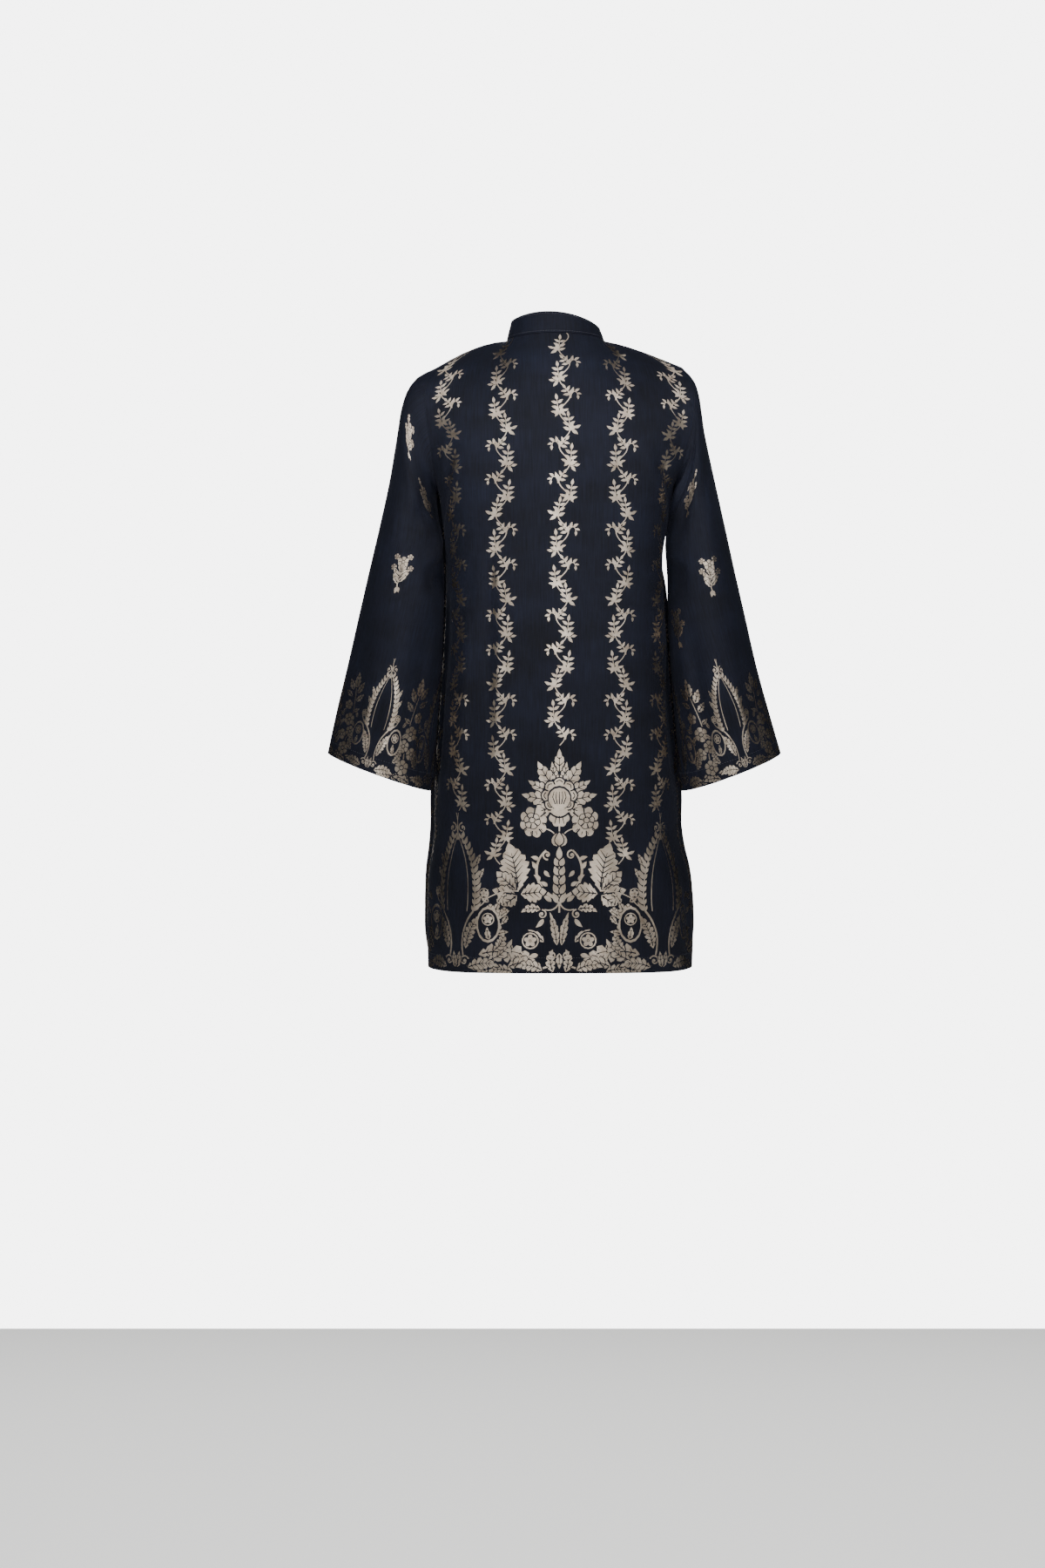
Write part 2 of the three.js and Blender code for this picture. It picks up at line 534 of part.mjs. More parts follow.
// Points and normals of the front panel's centre line, between a height and the neck, and how to step off it.
function centreFrontStrip(front, bottomZ) {
  const centre = PANEL_CELLS.across / 2;
  const strip = [];
  for (let i = 0; i < front.grid.length; i += 1) {
    const point = front.grid[i][centre];
    const above = front.grid[Math.min(i + 1, front.grid.length - 1)][centre];
    const cutsHere = point.z < bottomZ && above.z > bottomZ;
    if (point.z < bottomZ && !cutsHere) continue;
    const share = cutsHere ? (bottomZ - point.z) / (above.z - point.z) : 0;
    const next = Math.min(i + 1, front.grid.length - 1);
    const at = (j) => front.grid[i][j].clone().lerp(front.grid[next][j], share);
    const normal = front.normals[i][centre].clone().lerp(front.normals[next][centre], share).normalize();
    const aside = (offset) => {
      const neighbour = at(centre + Math.sign(offset));
      const middle = at(centre);
      return middle.clone().lerp(neighbour, Math.abs(offset) / neighbour.distanceTo(middle));
    };
    strip.push({ middle: at(centre), normal, aside });
  }
  return strip;
}

// The placket: a strip on the front panel's own points, moved out.
function placketGeometry(front) {
  const strip = centreFrontStrip(front, NECK_FRONT.z - PLACKET_LENGTH);
  const offset = SEAM_GAP + CLOTH;
  const grid = strip.map(({ middle, normal, aside }) => [
    aside(-PLACKET_WIDTH / 2).addScaledVector(normal, offset),
    middle.clone().addScaledVector(normal, offset),
    aside(PLACKET_WIDTH / 2).addScaledVector(normal, offset),
  ]);
  const normals = strip.map(({ normal }) => [normal, normal, normal]);
  return wall(grid, normals, CLOTH, false);
}

// The space of the neck slit: a narrow strip through the front panel's wall and out past its neck edge.
function slitGeometry(front) {
  const strip = centreFrontStrip(front, NECK_FRONT.z - SLIT_LENGTH);
  const { standOff, pastNeck } = SLIT_CUTTER;
  const grid = strip.map(({ normal, aside }) => [
    aside(-SLIT_WIDTH / 2).addScaledVector(normal, standOff),
    aside(SLIT_WIDTH / 2).addScaledVector(normal, standOff),
  ]);
  const last = grid[grid.length - 1];
  const lift = new THREE.Vector3(0, 0, pastNeck);
  grid.push(last.map((point) => point.clone().add(lift)));
  const normals = strip.map(({ normal }) => [normal, normal]);
  normals.push(normals[normals.length - 1]);
  return wall(grid, normals, CLOTH + 2 * standOff, false);
}

// Turns a geometry into a solid for cutting, and back.
const manifold = await Module();
manifold.setup();

function toSolid(geometry) {
  const mesh = new manifold.Mesh({
    numProp: 3,
    vertProperties: new Float32Array(geometry.getAttribute('position').array),
    triVerts: new Uint32Array(geometry.getIndex().array),
  });
  return new manifold.Manifold(mesh);
}

function toGeometry(solid) {
  const mesh = solid.getMesh();
  const geometry = new THREE.BufferGeometry();
  geometry.setAttribute('position', new THREE.Float32BufferAttribute(mesh.vertProperties, 3));
  geometry.setIndex([...mesh.triVerts]);
  geometry.computeVertexNormals();
  return geometry;
}

// The cloths: the patterned cloth is near black with a gold figure, the plain one is the same ground alone.
const patternedCloth = { color: 0x23242e, roughness: 0.72, metalness: 0 };
const plainCloth = { color: 0x20222c, roughness: 0.75, metalness: 0 };

function clothPiece(name, geometry, look) {
  const piece = new THREE.Mesh(geometry, new THREE.MeshStandardMaterial(look));
  piece.name = name;
  return piece;
}

const back = panelGrid(1, BACK_FOLDS);
const front = panelGrid(-1, FRONT_FOLDS);
back.normals = panelNormals(back);
front.normals = panelNormals(front);
const collar = collarGrid();
const frontWall = toSolid(wall(front.grid, front.normals, CLOTH, false)).subtract(toSolid(slitGeometry(front)));

const shirt = new THREE.Group();
shirt.add(clothPiece('back_panel', wall(back.grid, back.normals, CLOTH, false), patternedCloth));
shirt.add(clothPiece('front_panel', toGeometry(frontWall), patternedCloth));
shirt.add(clothPiece('front_placket', placketGeometry(front), plainCloth));
shirt.add(clothPiece('collar_band', wall(collar.grid, collar.normals, COLLAR_CLOTH, false), plainCloth));

const sleeves = [
  { name: 'sleeve_left', side: 1, folds: SLEEVE_FOLDS_LEFT },
  { name: 'sleeve_right', side: -1, folds: SLEEVE_FOLDS_RIGHT },
];
for (const { name, side, folds } of sleeves) {
  const ring = armholeRing(side, back, front);
  const grid = sleeveGrid(side, ring, folds);
  const normals = gridNormals(grid, true);
  normals[0] = ring.map(({ normal }) => normal);
  shirt.add(clothPiece(name, wall(grid, normals, CLOTH, true), patternedCloth));
}

export default shirt;
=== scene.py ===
# A long band-collar shirt in black cloth with a woven gold figure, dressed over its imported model. Lengths
# are in millimetres until a mesh is made. The front faces -Y, the back +Y, and the wearer's left is +X.

import bpy
import numpy as np
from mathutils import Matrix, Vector
from mathutils.geometry import delaunay_2d_cdt


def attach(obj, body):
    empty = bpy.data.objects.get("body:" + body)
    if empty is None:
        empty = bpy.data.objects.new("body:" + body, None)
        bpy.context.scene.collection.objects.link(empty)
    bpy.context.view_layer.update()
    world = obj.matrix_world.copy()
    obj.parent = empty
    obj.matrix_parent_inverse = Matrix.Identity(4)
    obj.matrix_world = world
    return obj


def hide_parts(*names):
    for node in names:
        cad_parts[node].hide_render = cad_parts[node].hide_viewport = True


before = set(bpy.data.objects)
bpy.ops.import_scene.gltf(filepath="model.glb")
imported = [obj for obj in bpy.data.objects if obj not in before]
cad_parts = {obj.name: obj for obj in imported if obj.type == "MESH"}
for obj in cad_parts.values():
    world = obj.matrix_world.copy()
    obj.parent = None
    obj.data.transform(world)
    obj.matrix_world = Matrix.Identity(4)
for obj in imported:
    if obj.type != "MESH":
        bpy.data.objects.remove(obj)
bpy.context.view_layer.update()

# Body panels: their form
# The back and the front are each cut in one piece with no darts, sewn at the
# shoulders and down the sides to the slits. Worn, they hang in a rounded
# tube from the shoulder blades and chest, flaring a little to the hem.


def table(names, rows):
    """The columns of a table by name."""
    return dict(zip(names.split(), np.array(rows, float).T))


UNDERARM_Z = -200
HEM_SIDE_Z, HEM_CENTRE_Z = -824, -815
SLIT_TOP_Z, SLIT_OPENING = -655, 9
SEAM_GAP = 0.3
HALF_PANEL = 235
CHEST_SQUARENESS = 0.075
NECK_SHIFT, NECK_HALF_WIDTH = 4, 64
NECK_BACK = {"y": 65, "z": 2}
NECK_FRONT = {"y": -72, "z": -52}
SHOULDER_TIP = {"left": 157, "right": 159, "z": -33}
SHOULDER_ROUNDING = {"left": 1.7, "right": 1.3}
YOKE_ARC = {"underarm": 90, "shoulder": 46, "settles_at": 0.45}
TOP_PULL = (0.35, 1.15)
ARMHOLE_HALF_DEPTH, FRONT_SCOOP = 66, 5
ACROSS, SKIRT, YOKE = 24, 20, 12
NECK_SHARE = 0.5
RELAX_PASSES, RELAX_ROWS_BELOW = 8, 2
FOLDS_FADE = {"aside": (0.84, 1), "up": (0.5, 0.9)}
NECK_WALL_RISE = {"middle": 0.5, "more_aside": 1.2}
ARMHOLE_WALL_TURNS = (0.72, 1)
SHOULDER_WALL = {"out": 0.4, "up": 0.92}

BODY_SECTIONS = table("z left right back front square", [
    (-824, 173, 179, 124, 126, 0.05),
    (-755, 174, 180, 121, 123, 0.05),
    (-700, 172, 174, 119, 121, 0.05),
    (-650, 165, 161, 117, 119, 0.05),
    (-590, 164, 160, 116, 118, 0.05),
    (-470, 156, 150, 113, 117, 0.05),
    (-400, 151, 144, 109, 116, 0.05),
    (-340, 148, 139, 106, 116, 0.052),
    (-280, 148, 137, 105, 116, 0.056),
    (-236, 152, 139, 107, 116, 0.064),
    (-200, 157, 147, 109, 116, 0.075),
])
CENTRE_BACK = table("z y", [(-240, 107), (-200, 109), (-130, 110), (-75, 103), (-30, 87), (2, 65)])
CENTRE_FRONT = table("z y", [(-240, 116), (-200, 116), (-150, 112), (-100, 98), (-52, 72)])
ARMHOLE_EDGE = table("z left right", [
    (-200, 157, 147), (-183, 160, 153), (-134, 166, 167), (-86, 172, 174), (-60, 170, 172), (-33, 157, 159),
])


def mix(start, end, share):
    """The value a share of the way from start to end."""
    return start + (end - start) * share


def ease(x, start, end):
    """0 before start, 1 after end, and 3 t^2 - 2 t^3 between them."""
    t = np.clip((x - start) / (end - start), 0, 1)
    return t * t * (3 - 2 * t)


def along_table(keys, values, at):
    """A Hermite curve through (keys, values): each row's slope is that between its two neighbours."""
    order = np.argsort(keys)
    k, v = keys[order], values[order]
    rows = np.arange(len(k))
    before, after = np.maximum(rows - 1, 0), np.minimum(rows + 1, len(k) - 1)
    slope = (v[after] - v[before]) / (k[after] - k[before])
    row = np.clip(np.searchsorted(k, at) - 1, 0, len(k) - 2)
    span = k[row + 1] - k[row]
    t = np.clip((at - k[row]) / span, 0, 1)
    start = (1 + 2 * t) * (1 - t) ** 2 * v[row] + t * (1 - t) ** 2 * span * slope[row]
    return start + t * t * (3 - 2 * t) * v[row + 1] + t * t * (t - 1) * span * slope[row + 1]


def points_of(x, y, z):
    """One array of points from three arrays of any shapes that go together."""
    return np.stack(np.broadcast_arrays(x, y, z), -1).astype(float)


def rounded(degrees, square):
    """A rounded rectangle of half width and half depth 1: (sin a + s sin 3a, cos a - s cos 3a) / (1 - s)."""
    angle = np.radians(degrees)
    across = (np.sin(angle) + square * np.sin(3 * angle)) / (1 - square)
    out = (np.cos(angle) - square * np.cos(3 * angle)) / (1 - square)
    return across, out


def skirt_points(across, down, facing):
    """The body under the arms: at each height, half the rounded
    section of that height from side seam to side seam."""
    z = mix(UNDERARM_Z, mix(HEM_CENTRE_Z, HEM_SIDE_Z, across ** 2), down)
    read = {name: along_table(BODY_SECTIONS["z"], BODY_SECTIONS[name], z) for name in BODY_SECTIONS}
    sideways, out = rounded(90 * across, read["square"])
    left, right = read["left"], read["right"]
    half_width = (left + right) / 2 + (left - right) / 2 * np.sin(np.radians(90 * across))
    slit = SLIT_OPENING / 2 * ease(SLIT_TOP_Z - z, 0, SLIT_TOP_Z - HEM_SIDE_Z) * np.abs(across) ** 8
    depth = read["back" if facing > 0 else "front"]
    return points_of(half_width * sideways, facing * (depth * out + slit), z)


def armhole_points(side, turn, facing):
    """The armhole seam: a cosine in height and a sine in depth,
    from the shoulder tip at 0 to the underarm at 180."""
    middle = (SHOULDER_TIP["z"] + UNDERARM_Z) / 2
    z = middle + (SHOULDER_TIP["z"] - middle) * np.cos(np.radians(turn))
    out = along_table(ARMHOLE_EDGE["z"], ARMHOLE_EDGE["left" if side > 0 else "right"], z)
    scoop = FRONT_SCOOP * np.sin(np.radians(turn)) if facing < 0 else 0
    return points_of(side * (out - scoop), facing * ARMHOLE_HALF_DEPTH * np.sin(np.radians(turn)), z)


def neck_points(turn, facing):
    """The neck seam: a sine across and a cosine in depth,
    sagging by its power 1.5, from one shoulder to the other."""
    neck = NECK_BACK if facing > 0 else NECK_FRONT
    sag = np.maximum(np.cos(np.radians(turn)), 0)
    x = NECK_SHIFT + NECK_HALF_WIDTH * np.sin(np.radians(turn))
    return points_of(x, neck["y"] * sag, neck["z"] * sag ** 1.5)


def top_points(across, facing):
    """The top edge: the neck seam in the middle, then on
    each side a shoulder seam that drops by a power curve."""
    neck = neck_points(90 * np.clip(across / NECK_SHARE, -1, 1), facing)
    along = np.clip((np.abs(across) - NECK_SHARE) / (1 - NECK_SHARE), 0, 1)
    tip = np.where(across > 0, SHOULDER_TIP["left"], -SHOULDER_TIP["right"])
    rounding = np.where(across > 0, SHOULDER_ROUNDING["left"], SHOULDER_ROUNDING["right"])
    start = NECK_SHIFT + NECK_HALF_WIDTH * np.sign(across)
    shoulder = points_of(mix(start, tip, along), 0, SHOULDER_TIP["z"] * along ** rounding)
    return np.where(np.abs(across)[..., None] <= NECK_SHARE, neck, shoulder)


def yoke_points(across, up, facing):
    """The panel above the underarm: rounded rows between the
    armholes, drawn towards the top edge as they rise."""
    neck_z = (NECK_BACK if facing > 0 else NECK_FRONT)["z"]
    centre = CENTRE_BACK if facing > 0 else CENTRE_FRONT

    def rounded_points(height):
        left = armhole_points(1, 180 * (1 - height), facing)
        right = armhole_points(-1, 180 * (1 - height), facing)
        centre_z = mix(UNDERARM_Z, neck_z, (1 - np.cos(np.pi * height)) / 2)
        centre_y = along_table(centre["z"], centre["y"], centre_z)
        arc = mix(YOKE_ARC["underarm"], YOKE_ARC["shoulder"], ease(height, 0, YOKE_ARC["settles_at"]))
        sideways, out = rounded(arc * across, CHEST_SQUARENESS)
        edge_sideways, edge_out = rounded(arc, CHEST_SQUARENESS)
        bulge = (out - edge_out) / (1 - edge_out)
        left_x, right_x = left[..., 0], right[..., 0]
        half_width = (left_x - right_x) / 2 + (left_x + right_x) / 2 * np.sin(np.radians(90 * across))
        x = half_width * sideways / edge_sideways
        y = facing * mix(np.abs(left[..., 1]), centre_y, bulge)
        return points_of(x, y, mix(left[..., 2], centre_z, 1 - across ** 2))

    drawn = ease(up, *TOP_PULL) / ease(1, *TOP_PULL)
    pull = top_points(across, facing) - rounded_points(np.ones_like(up))
    return rounded_points(up) + pull * drawn[..., None]


# Each fold runs from its first point to its second and fades at both ends. Across is in mm
# of cloth from the panel's centre line towards the wearer's left, and depth is outwards.
FOLD_COLUMNS = "across z to_across to_z width depth"
BACK_FOLDS = table(FOLD_COLUMNS, [
    (92, -290, 96, -560, 15, -3.5),
    (118, -330, 116, -600, 17, 3),
    (-150, -150, -205, -215, 13, -6),
    (-176, -250, -168, -480, 16, 3.5),
    (165, -140, 196, -230, 13, -4.5),
    (-95, -560, -120, -830, 26, 5),
    (70, -600, 95, -830, 26, 4.5),
    (-20, -620, -15, -830, 24, -4),
    (150, -640, 158, -830, 18, -4),
    (-165, -640, -180, -830, 18, -4),
    (190, -300, 192, -610, 20, -5),
    (-192, -380, -192, -610, 20, -4.5),
])
FRONT_FOLDS = table(FOLD_COLUMNS, [
    (150, -130, 200, -215, 14, -5.5),
    (-150, -135, -198, -220, 14, -5),
    (105, -300, 112, -590, 17, -3.5),
    (-98, -330, -108, -600, 18, 3.5),
    (85, -580, 102, -830, 26, 5),
    (-80, -600, -96, -830, 26, 4.5),
    (5, -560, 10, -830, 26, -4.5),
    (160, -650, 172, -830, 18, -4),
    (-158, -640, -170, -830, 18, -4),
])


def fold_lift(places, folds, fade_share=0.35, most_fade=90):
    """How far soft folds lift the cloth: depth * exp(-(aside
    / width)^2) for each, fading past the ends of its line."""
    names = list(folds)
    total = np.zeros(places.shape[:-1])
    for from_x, from_y, to_x, to_y, width, depth in zip(*(folds[name] for name in names)):
        length = np.hypot(to_x - from_x, to_y - from_y)
        ahead = np.array([to_x - from_x, to_y - from_y]) / length
        offset = places - (from_x, from_y)
        along = offset @ ahead
        aside = offset[..., 0] * ahead[1] - offset[..., 1] * ahead[0]
        fade = min(fade_share * length, most_fade)
        ends = ease(along, -0.5 * width, fade) * (1 - ease(along, length - fade, length + 0.5 * width))
        total += depth * ends * np.exp(-(aside / width) ** 2)
    return total


def unit(vectors):
    """The vectors at length 1."""
    return vectors / np.linalg.norm(vectors, axis=-1, keepdims=True)


def grid_normals(grid, closed=False):
    """Outward directions of a grid of points: the slope across it crossed with the slope up it."""
    if closed:
        across = np.roll(grid, -1, 1) - np.roll(grid, 1, 1)
    else:
        across = np.gradient(grid, axis=1)
    return unit(np.cross(across, np.gradient(grid, axis=0)))


def panel_form(facing, folds):
    """A panel's grid of points and its wall directions, row by row from the hem to the top edge."""
    across = -facing * np.linspace(-1, 1, ACROSS + 1)[None, :]
    down = np.linspace(1, 0, SKIRT + 1)[:, None]
    up = np.linspace(0, 1, YOKE + 1)[1:, None]
    grid = np.concatenate([skirt_points(across, down, facing), yoke_points(across, up, facing)])
    grid[..., 1] += facing * SEAM_GAP / 2
    first = SKIRT - RELAX_ROWS_BELOW
    for _ in range(RELAX_PASSES):
        inside = grid[first:-1, 1:-1]
        beside = grid[first:-1, :-2] + grid[first:-1, 2:]
        mean = (beside + grid[first - 1:-2, 1:-1] + grid[first + 1:, 1:-1]) / 4
        grid[first:-1, 1:-1] = inside + (mean - inside) / 2
    height = np.concatenate([np.zeros(SKIRT + 1), up[:, 0]])[:, None]
    held = (1 - ease(np.abs(across), *FOLDS_FADE["aside"])) * (1 - ease(height, *FOLDS_FADE["up"]))
    places = np.stack([np.broadcast_to(across * HALF_PANEL, grid.shape[:2]), grid[..., 2]], -1)
    grid += grid_normals(grid) * (held * fold_lift(places, folds))[..., None]
    return grid, panel_wall_directions(grid, across[0], height, facing)


def neck_direction(turn, facing):
    """The direction in which the cloth is thick along the
    neck seam: outwards and up, more so at the shoulders."""
    angle = np.radians(turn)
    rise = NECK_WALL_RISE["middle"] + NECK_WALL_RISE["more_aside"] * np.sin(angle) ** 4
    return unit(points_of(np.sin(angle), facing * np.abs(np.cos(angle)), rise))


def panel_wall_directions(grid, across, height, facing):
    """The directions in which a panel is thick: its normals,
    turned at a sewn edge to suit the piece it is sewn to."""
    normals = grid_normals(grid)
    for column in (0, -1):
        side = across[column]
        normals[:SKIRT, column] = (side, 0, 0)
        normals[SKIRT, column] = unit(np.array([side, 0, -1.0]))
        normals[SKIRT + 1:-1, column, 2] -= ease(1 - height[SKIRT + 1:-1, 0], *ARMHOLE_WALL_TURNS)
        normals[-1, column] = (SHOULDER_WALL["out"] * side, 0, SHOULDER_WALL["up"])
    in_neck = np.abs(across) <= NECK_SHARE
    normals[-1, ~in_neck, 1] = 0
    normals[-1, in_neck] = neck_direction(90 * across[in_neck] / NECK_SHARE, facing)
    return unit(normals)


back_grid, back_walls = panel_form(1, BACK_FOLDS)
front_grid, front_walls = panel_form(-1, FRONT_FOLDS)

# Woven figure
# The gold figure is woven in: extra threads of dull gold yarn lie over the
# black ground where the figure shows. Each motif is a list of closed outlines
# with the yarn that shows inside: gold, or the ground in veins and eyes.

GOLD, GROUND = 1, 0


def turned(points, degrees):
    """The points turned anticlockwise about the origin."""
    angle = np.radians(degrees)
    return points @ np.array([[np.cos(angle), np.sin(angle)], [-np.sin(angle), np.cos(angle)]])


def placed(motif, x, y, degrees=0, size=1, mirror=False):
    """The motif at a new size, mirrored left to right or not, turned, and then moved to (x, y)."""
    across = np.array([-size, size]) if mirror else size
    return [(turned(points * across, degrees) + (x, y), yarn) for points, yarn in motif]


PARTING = 1.55


def stroke(path, width, end_width=None, yarn=GOLD):
    """A band along a path: half its width to either side of the path, tapering from width to end_width. One
    of ground is PARTING times as wide, as the dark lines that part petals and leaves are in the cloth."""
    path = np.array(path, float)
    slope = np.gradient(path, axis=0)
    aside = np.stack([-slope[:, 1], slope[:, 0]], -1) / np.linalg.norm(slope, axis=-1, keepdims=True)
    half = np.linspace(width, width if end_width is None else end_width, len(path))[:, None] / 2
    half *= PARTING if yarn == GROUND else 1
    return [(np.concatenate([path - aside * half, (path + aside * half)[::-1]]), yarn)]


def bow(start, end, rise, count=7):
    """A path from start to end that bows to its left by rise, as a parabola."""
    start, end = np.array(start, float), np.array(end, float)
    t = np.linspace(0, 1, count)[:, None]
    left = np.array([start[1] - end[1], end[0] - start[0]]) / np.linalg.norm(end - start)
    return start + (end - start) * t + left * rise * 4 * t * (1 - t)


LOBE_SWELL = (0.95, 1.0, 1.08)
SLIT_SPAN, VEIN_SPAN = (0.04, 0.85), (0.14, 0.68)


def leaf(length, width, curl=0, lobes=0, veins=0, slit=0.0, depth=0.3, fullest=0.75, edge=0.0):
    """A pointed leaf up from the origin. Half its width is sin(pi t^fullest), its midrib turns by curl
    degrees * t^1.3, and lobes are teeth that swell and fall back along each edge. A slit of ground is
    its midrib, slivers are its veins, and an edge of ground parts it from what lies under it."""
    if lobes:
        count = 4 * lobes + 1
    else:
        count = 9 if slit else 7
    t = np.linspace(0, 1, count)
    heading = np.radians(curl) * t ** 1.3
    ahead = np.stack([np.sin(heading), np.cos(heading)], -1)
    aside = np.stack([np.cos(heading), -np.sin(heading)], -1)
    steps = (ahead[1:] + ahead[:-1]) / 2 * length / (count - 1)
    rib = np.concatenate([[[0, 0]], np.cumsum(steps, 0)])
    half = width / 2 * np.sin(np.pi * t ** fullest)
    if lobes:
        half *= np.array([1 - depth, *LOBE_SWELL])[np.arange(count) % 4]
    shapes = []
    for grow, yarn in ((edge * PARTING, GROUND), (0.0, GOLD)):
        if grow or yarn == GOLD:
            wide = (half + grow)[:, None] * aside
            stretch = ahead * (grow * (2 * t - 1))[:, None]
            right, left = rib + wide + stretch, rib - wide + stretch
            outline = np.concatenate([right, left[::-1]]) if grow else np.concatenate([right, left[-2:0:-1]])
            shapes.append((outline, yarn))
    if slit:
        inner = (t > SLIT_SPAN[0]) & (t < SLIT_SPAN[1])
        shapes += stroke(rib[inner][:: 2 if lobes else 1], slit, slit / 3, GROUND)
    for share in np.linspace(*VEIN_SPAN, veins):
        at = int(round(share * (count - 1)))
        reach = width * 0.3 * np.sin(np.pi * t[at] ** fullest)
        for side in (-1, 1):
            path = np.array([rib[at], rib[at] + side * aside[at] * reach + ahead[at] * reach * 0.9])
            shapes += stroke(path, slit * 0.8, slit * 0.3, GROUND)
    return shapes


def round_shape(radius, petals=0, depth=0.0, x=0.0, y=0.0, yarn=GOLD, stretch=1.0):
    """A disc, or a scalloped flower: its radius is 1 - depth
    + depth |cos(petals * angle / 2)| of the full one."""
    angle = np.linspace(0, 2 * np.pi, max(6 * petals, 14), endpoint=False)
    reach = radius * (1 - depth + depth * np.abs(np.cos(petals * angle / 2))) if petals else radius
    return [(np.stack([reach * np.sin(angle) + x, reach * np.cos(angle) * stretch + y], -1), yarn)]


def volute(radius, turns, width):
    """A scroll that winds anticlockwise into the origin from
    (radius, 0), its radius falling to a fifth, with an eye."""
    angle = np.linspace(0, 2 * np.pi * turns, int(14 * turns) + 2)
    reach = radius * (1 - 0.8 * angle / angle[-1])
    path = np.stack([reach * np.cos(angle), reach * np.sin(angle)], -1)
    return stroke(path, width, width * 0.7) + round_shape(width * 0.85)


def rosette(radius):
    """A five-petalled flower inside a ring."""
    shapes = round_shape(radius) + round_shape(radius * 0.84, yarn=GROUND)
    for turn in range(0, 360, 72):
        petal = round_shape(radius * 0.27, stretch=1.25, y=radius * 0.42)
        shapes += placed(petal, 0, 0, turn)
    return shapes + round_shape(radius * 0.16, yarn=GROUND) + round_shape(radius * 0.1)


def petal_lines(petals, reach, widths, x=0, y=0):
    """Thin lines of ground that part a flower's petals, from the first reach out to the second."""
    line = stroke([(0, reach[0]), (0, reach[1])], *widths, GROUND)
    return [shape for k in range(petals) for shape in placed(line, x, y, 360 * (k + 0.5) / petals)]


def blossom(radius, petals=6):
    """A small open flower: scalloped, with its petals parted by thin lines and a dark ring round its eye."""
    shapes = round_shape(radius, petals, 0.16) + petal_lines(petals, (radius * 0.4, radius * 0.9), (0.5, 0.7))
    return shapes + round_shape(radius * 0.36, yarn=GROUND) + round_shape(radius * 0.24)


def acanthus(length, width, curl, blades):
    """An acanthus leaf: a long deep-toothed leaf that curls over."""
    return leaf(length, width, curl, blades, blades, 1.0, 0.5, 0.8, 0.8)


PAIR_STEP = 6.8


def leaf_spray(pairs, size=1.0):
    """A twig of leaf pairs, its leaves pointing up and out, shorter towards the tip."""
    reach = PAIR_STEP * pairs
    shapes = stroke([(0, 0), (0.5, reach * 0.5), (0, reach)], 1.3, 0.8)
    for k in range(pairs):
        long = 9.6 - 0.6 * k
        for side in (-1, 1):
            shapes += placed(leaf(long, long * 0.46, 14 * side), side * 0.5, PAIR_STEP * k + 1.2, -54 * side)
    shapes += placed(leaf(8.4, 4.0), 0, reach - 0.8)
    return placed(shapes, 0, 0, 0, size)


def curled_tip(size=1.0):
    """A twig that curls over to the right, with leaves along its outer side and one that closes the curl."""
    angle = np.linspace(0, np.pi, 9)
    reach = 5.6 - 1.4 * angle / np.pi
    path = np.stack([5.6 - reach * np.cos(angle), 7 * np.sin(angle) + angle], -1)
    shapes = stroke(path, 1.3, 1.0)
    for k, long in ((1, 7.0), (3, 8.0), (5, 7.6), (7, 6.4)):
        shapes += placed(leaf(long, long * 0.48, 30), *path[k], 62 - np.degrees(angle[k]))
    shapes += placed(leaf(6.5, 3.6, 30), *path[-1], 190)
    return placed(shapes, 0, 0, 0, size)


VINE_STEP, VINE_SWAY, STEM_STEP = 21.6, 6.6, 2.7


def vine(low, high, mirror):
    """A climbing vine between two heights: its stem sways from side to side, a
    step up each time, and a leafy twig stands on each sway. Five kinds of twig
    take turns, so that each group of five is the mirror image of the last."""
    kinds = [
        [(leaf_spray(3, 1.02), 0, -2, 6), (leaf_spray(1, 0.9), 1, -3, 78), (leaf_spray(1, 0.8), 0, 2, -70)],
        [(curled_tip(0.98), 0, -2, -4), (leaf_spray(2, 0.86), -1, 0, -40)],
        [(leaf_spray(3, 0.94), 0, -2, -6), (leaf_spray(1, 1.0), 1, -1, 62)],
        [(leaf_spray(3, 1.0), 0, -3, 10), (leaf_spray(1, 0.8), -1, 0, -66), (leaf_spray(1, 0.7), 1, 0, 84)],
        [(curled_tip(0.92), 1, -3, -8), (leaf_spray(2, 0.84), 0, 1, -34)],
    ]
    y = np.arange(low, high + 2, STEM_STEP)
    stem = np.stack([VINE_SWAY * np.sin(np.pi * (y / VINE_STEP + 0.5)), y], -1)
    shapes = stroke(stem, 1.3)
    for k in range(int(np.ceil(low / VINE_STEP)), int(high / VINE_STEP)):
        side = 1 if k % 2 == 0 else -1
        for twig, x, y0, degrees in kinds[k % 5]:
            shapes += placed(twig, side * (VINE_SWAY + x), k * VINE_STEP + y0, -side * degrees, 1, side < 0)
    return placed(shapes, 0, 0, 0, 1, mirror)


def leaning(motif, low, high, low_x, high_x):
    """The motif moved sideways by low_x at the low height and by high_x at the high one, evenly between."""
    slope = (high_x - low_x) / (high - low)
    return [(points + np.stack([low_x + (points[:, 1] - low) * slope, 0 * points[:, 1]], -1), yarn)
            for points, yarn in motif]


def stretched(motif, across, up):
    """The motif at one size across and another up."""
    return [(points * (across, up), yarn) for points, yarn in motif]


def broad_leaf(length, width, curl, lobes):
    """A broad lobed leaf with short veins."""
    return leaf(length, width, curl, lobes, lobes - 1, 1.2, 0.22, 0.95, 0.9)


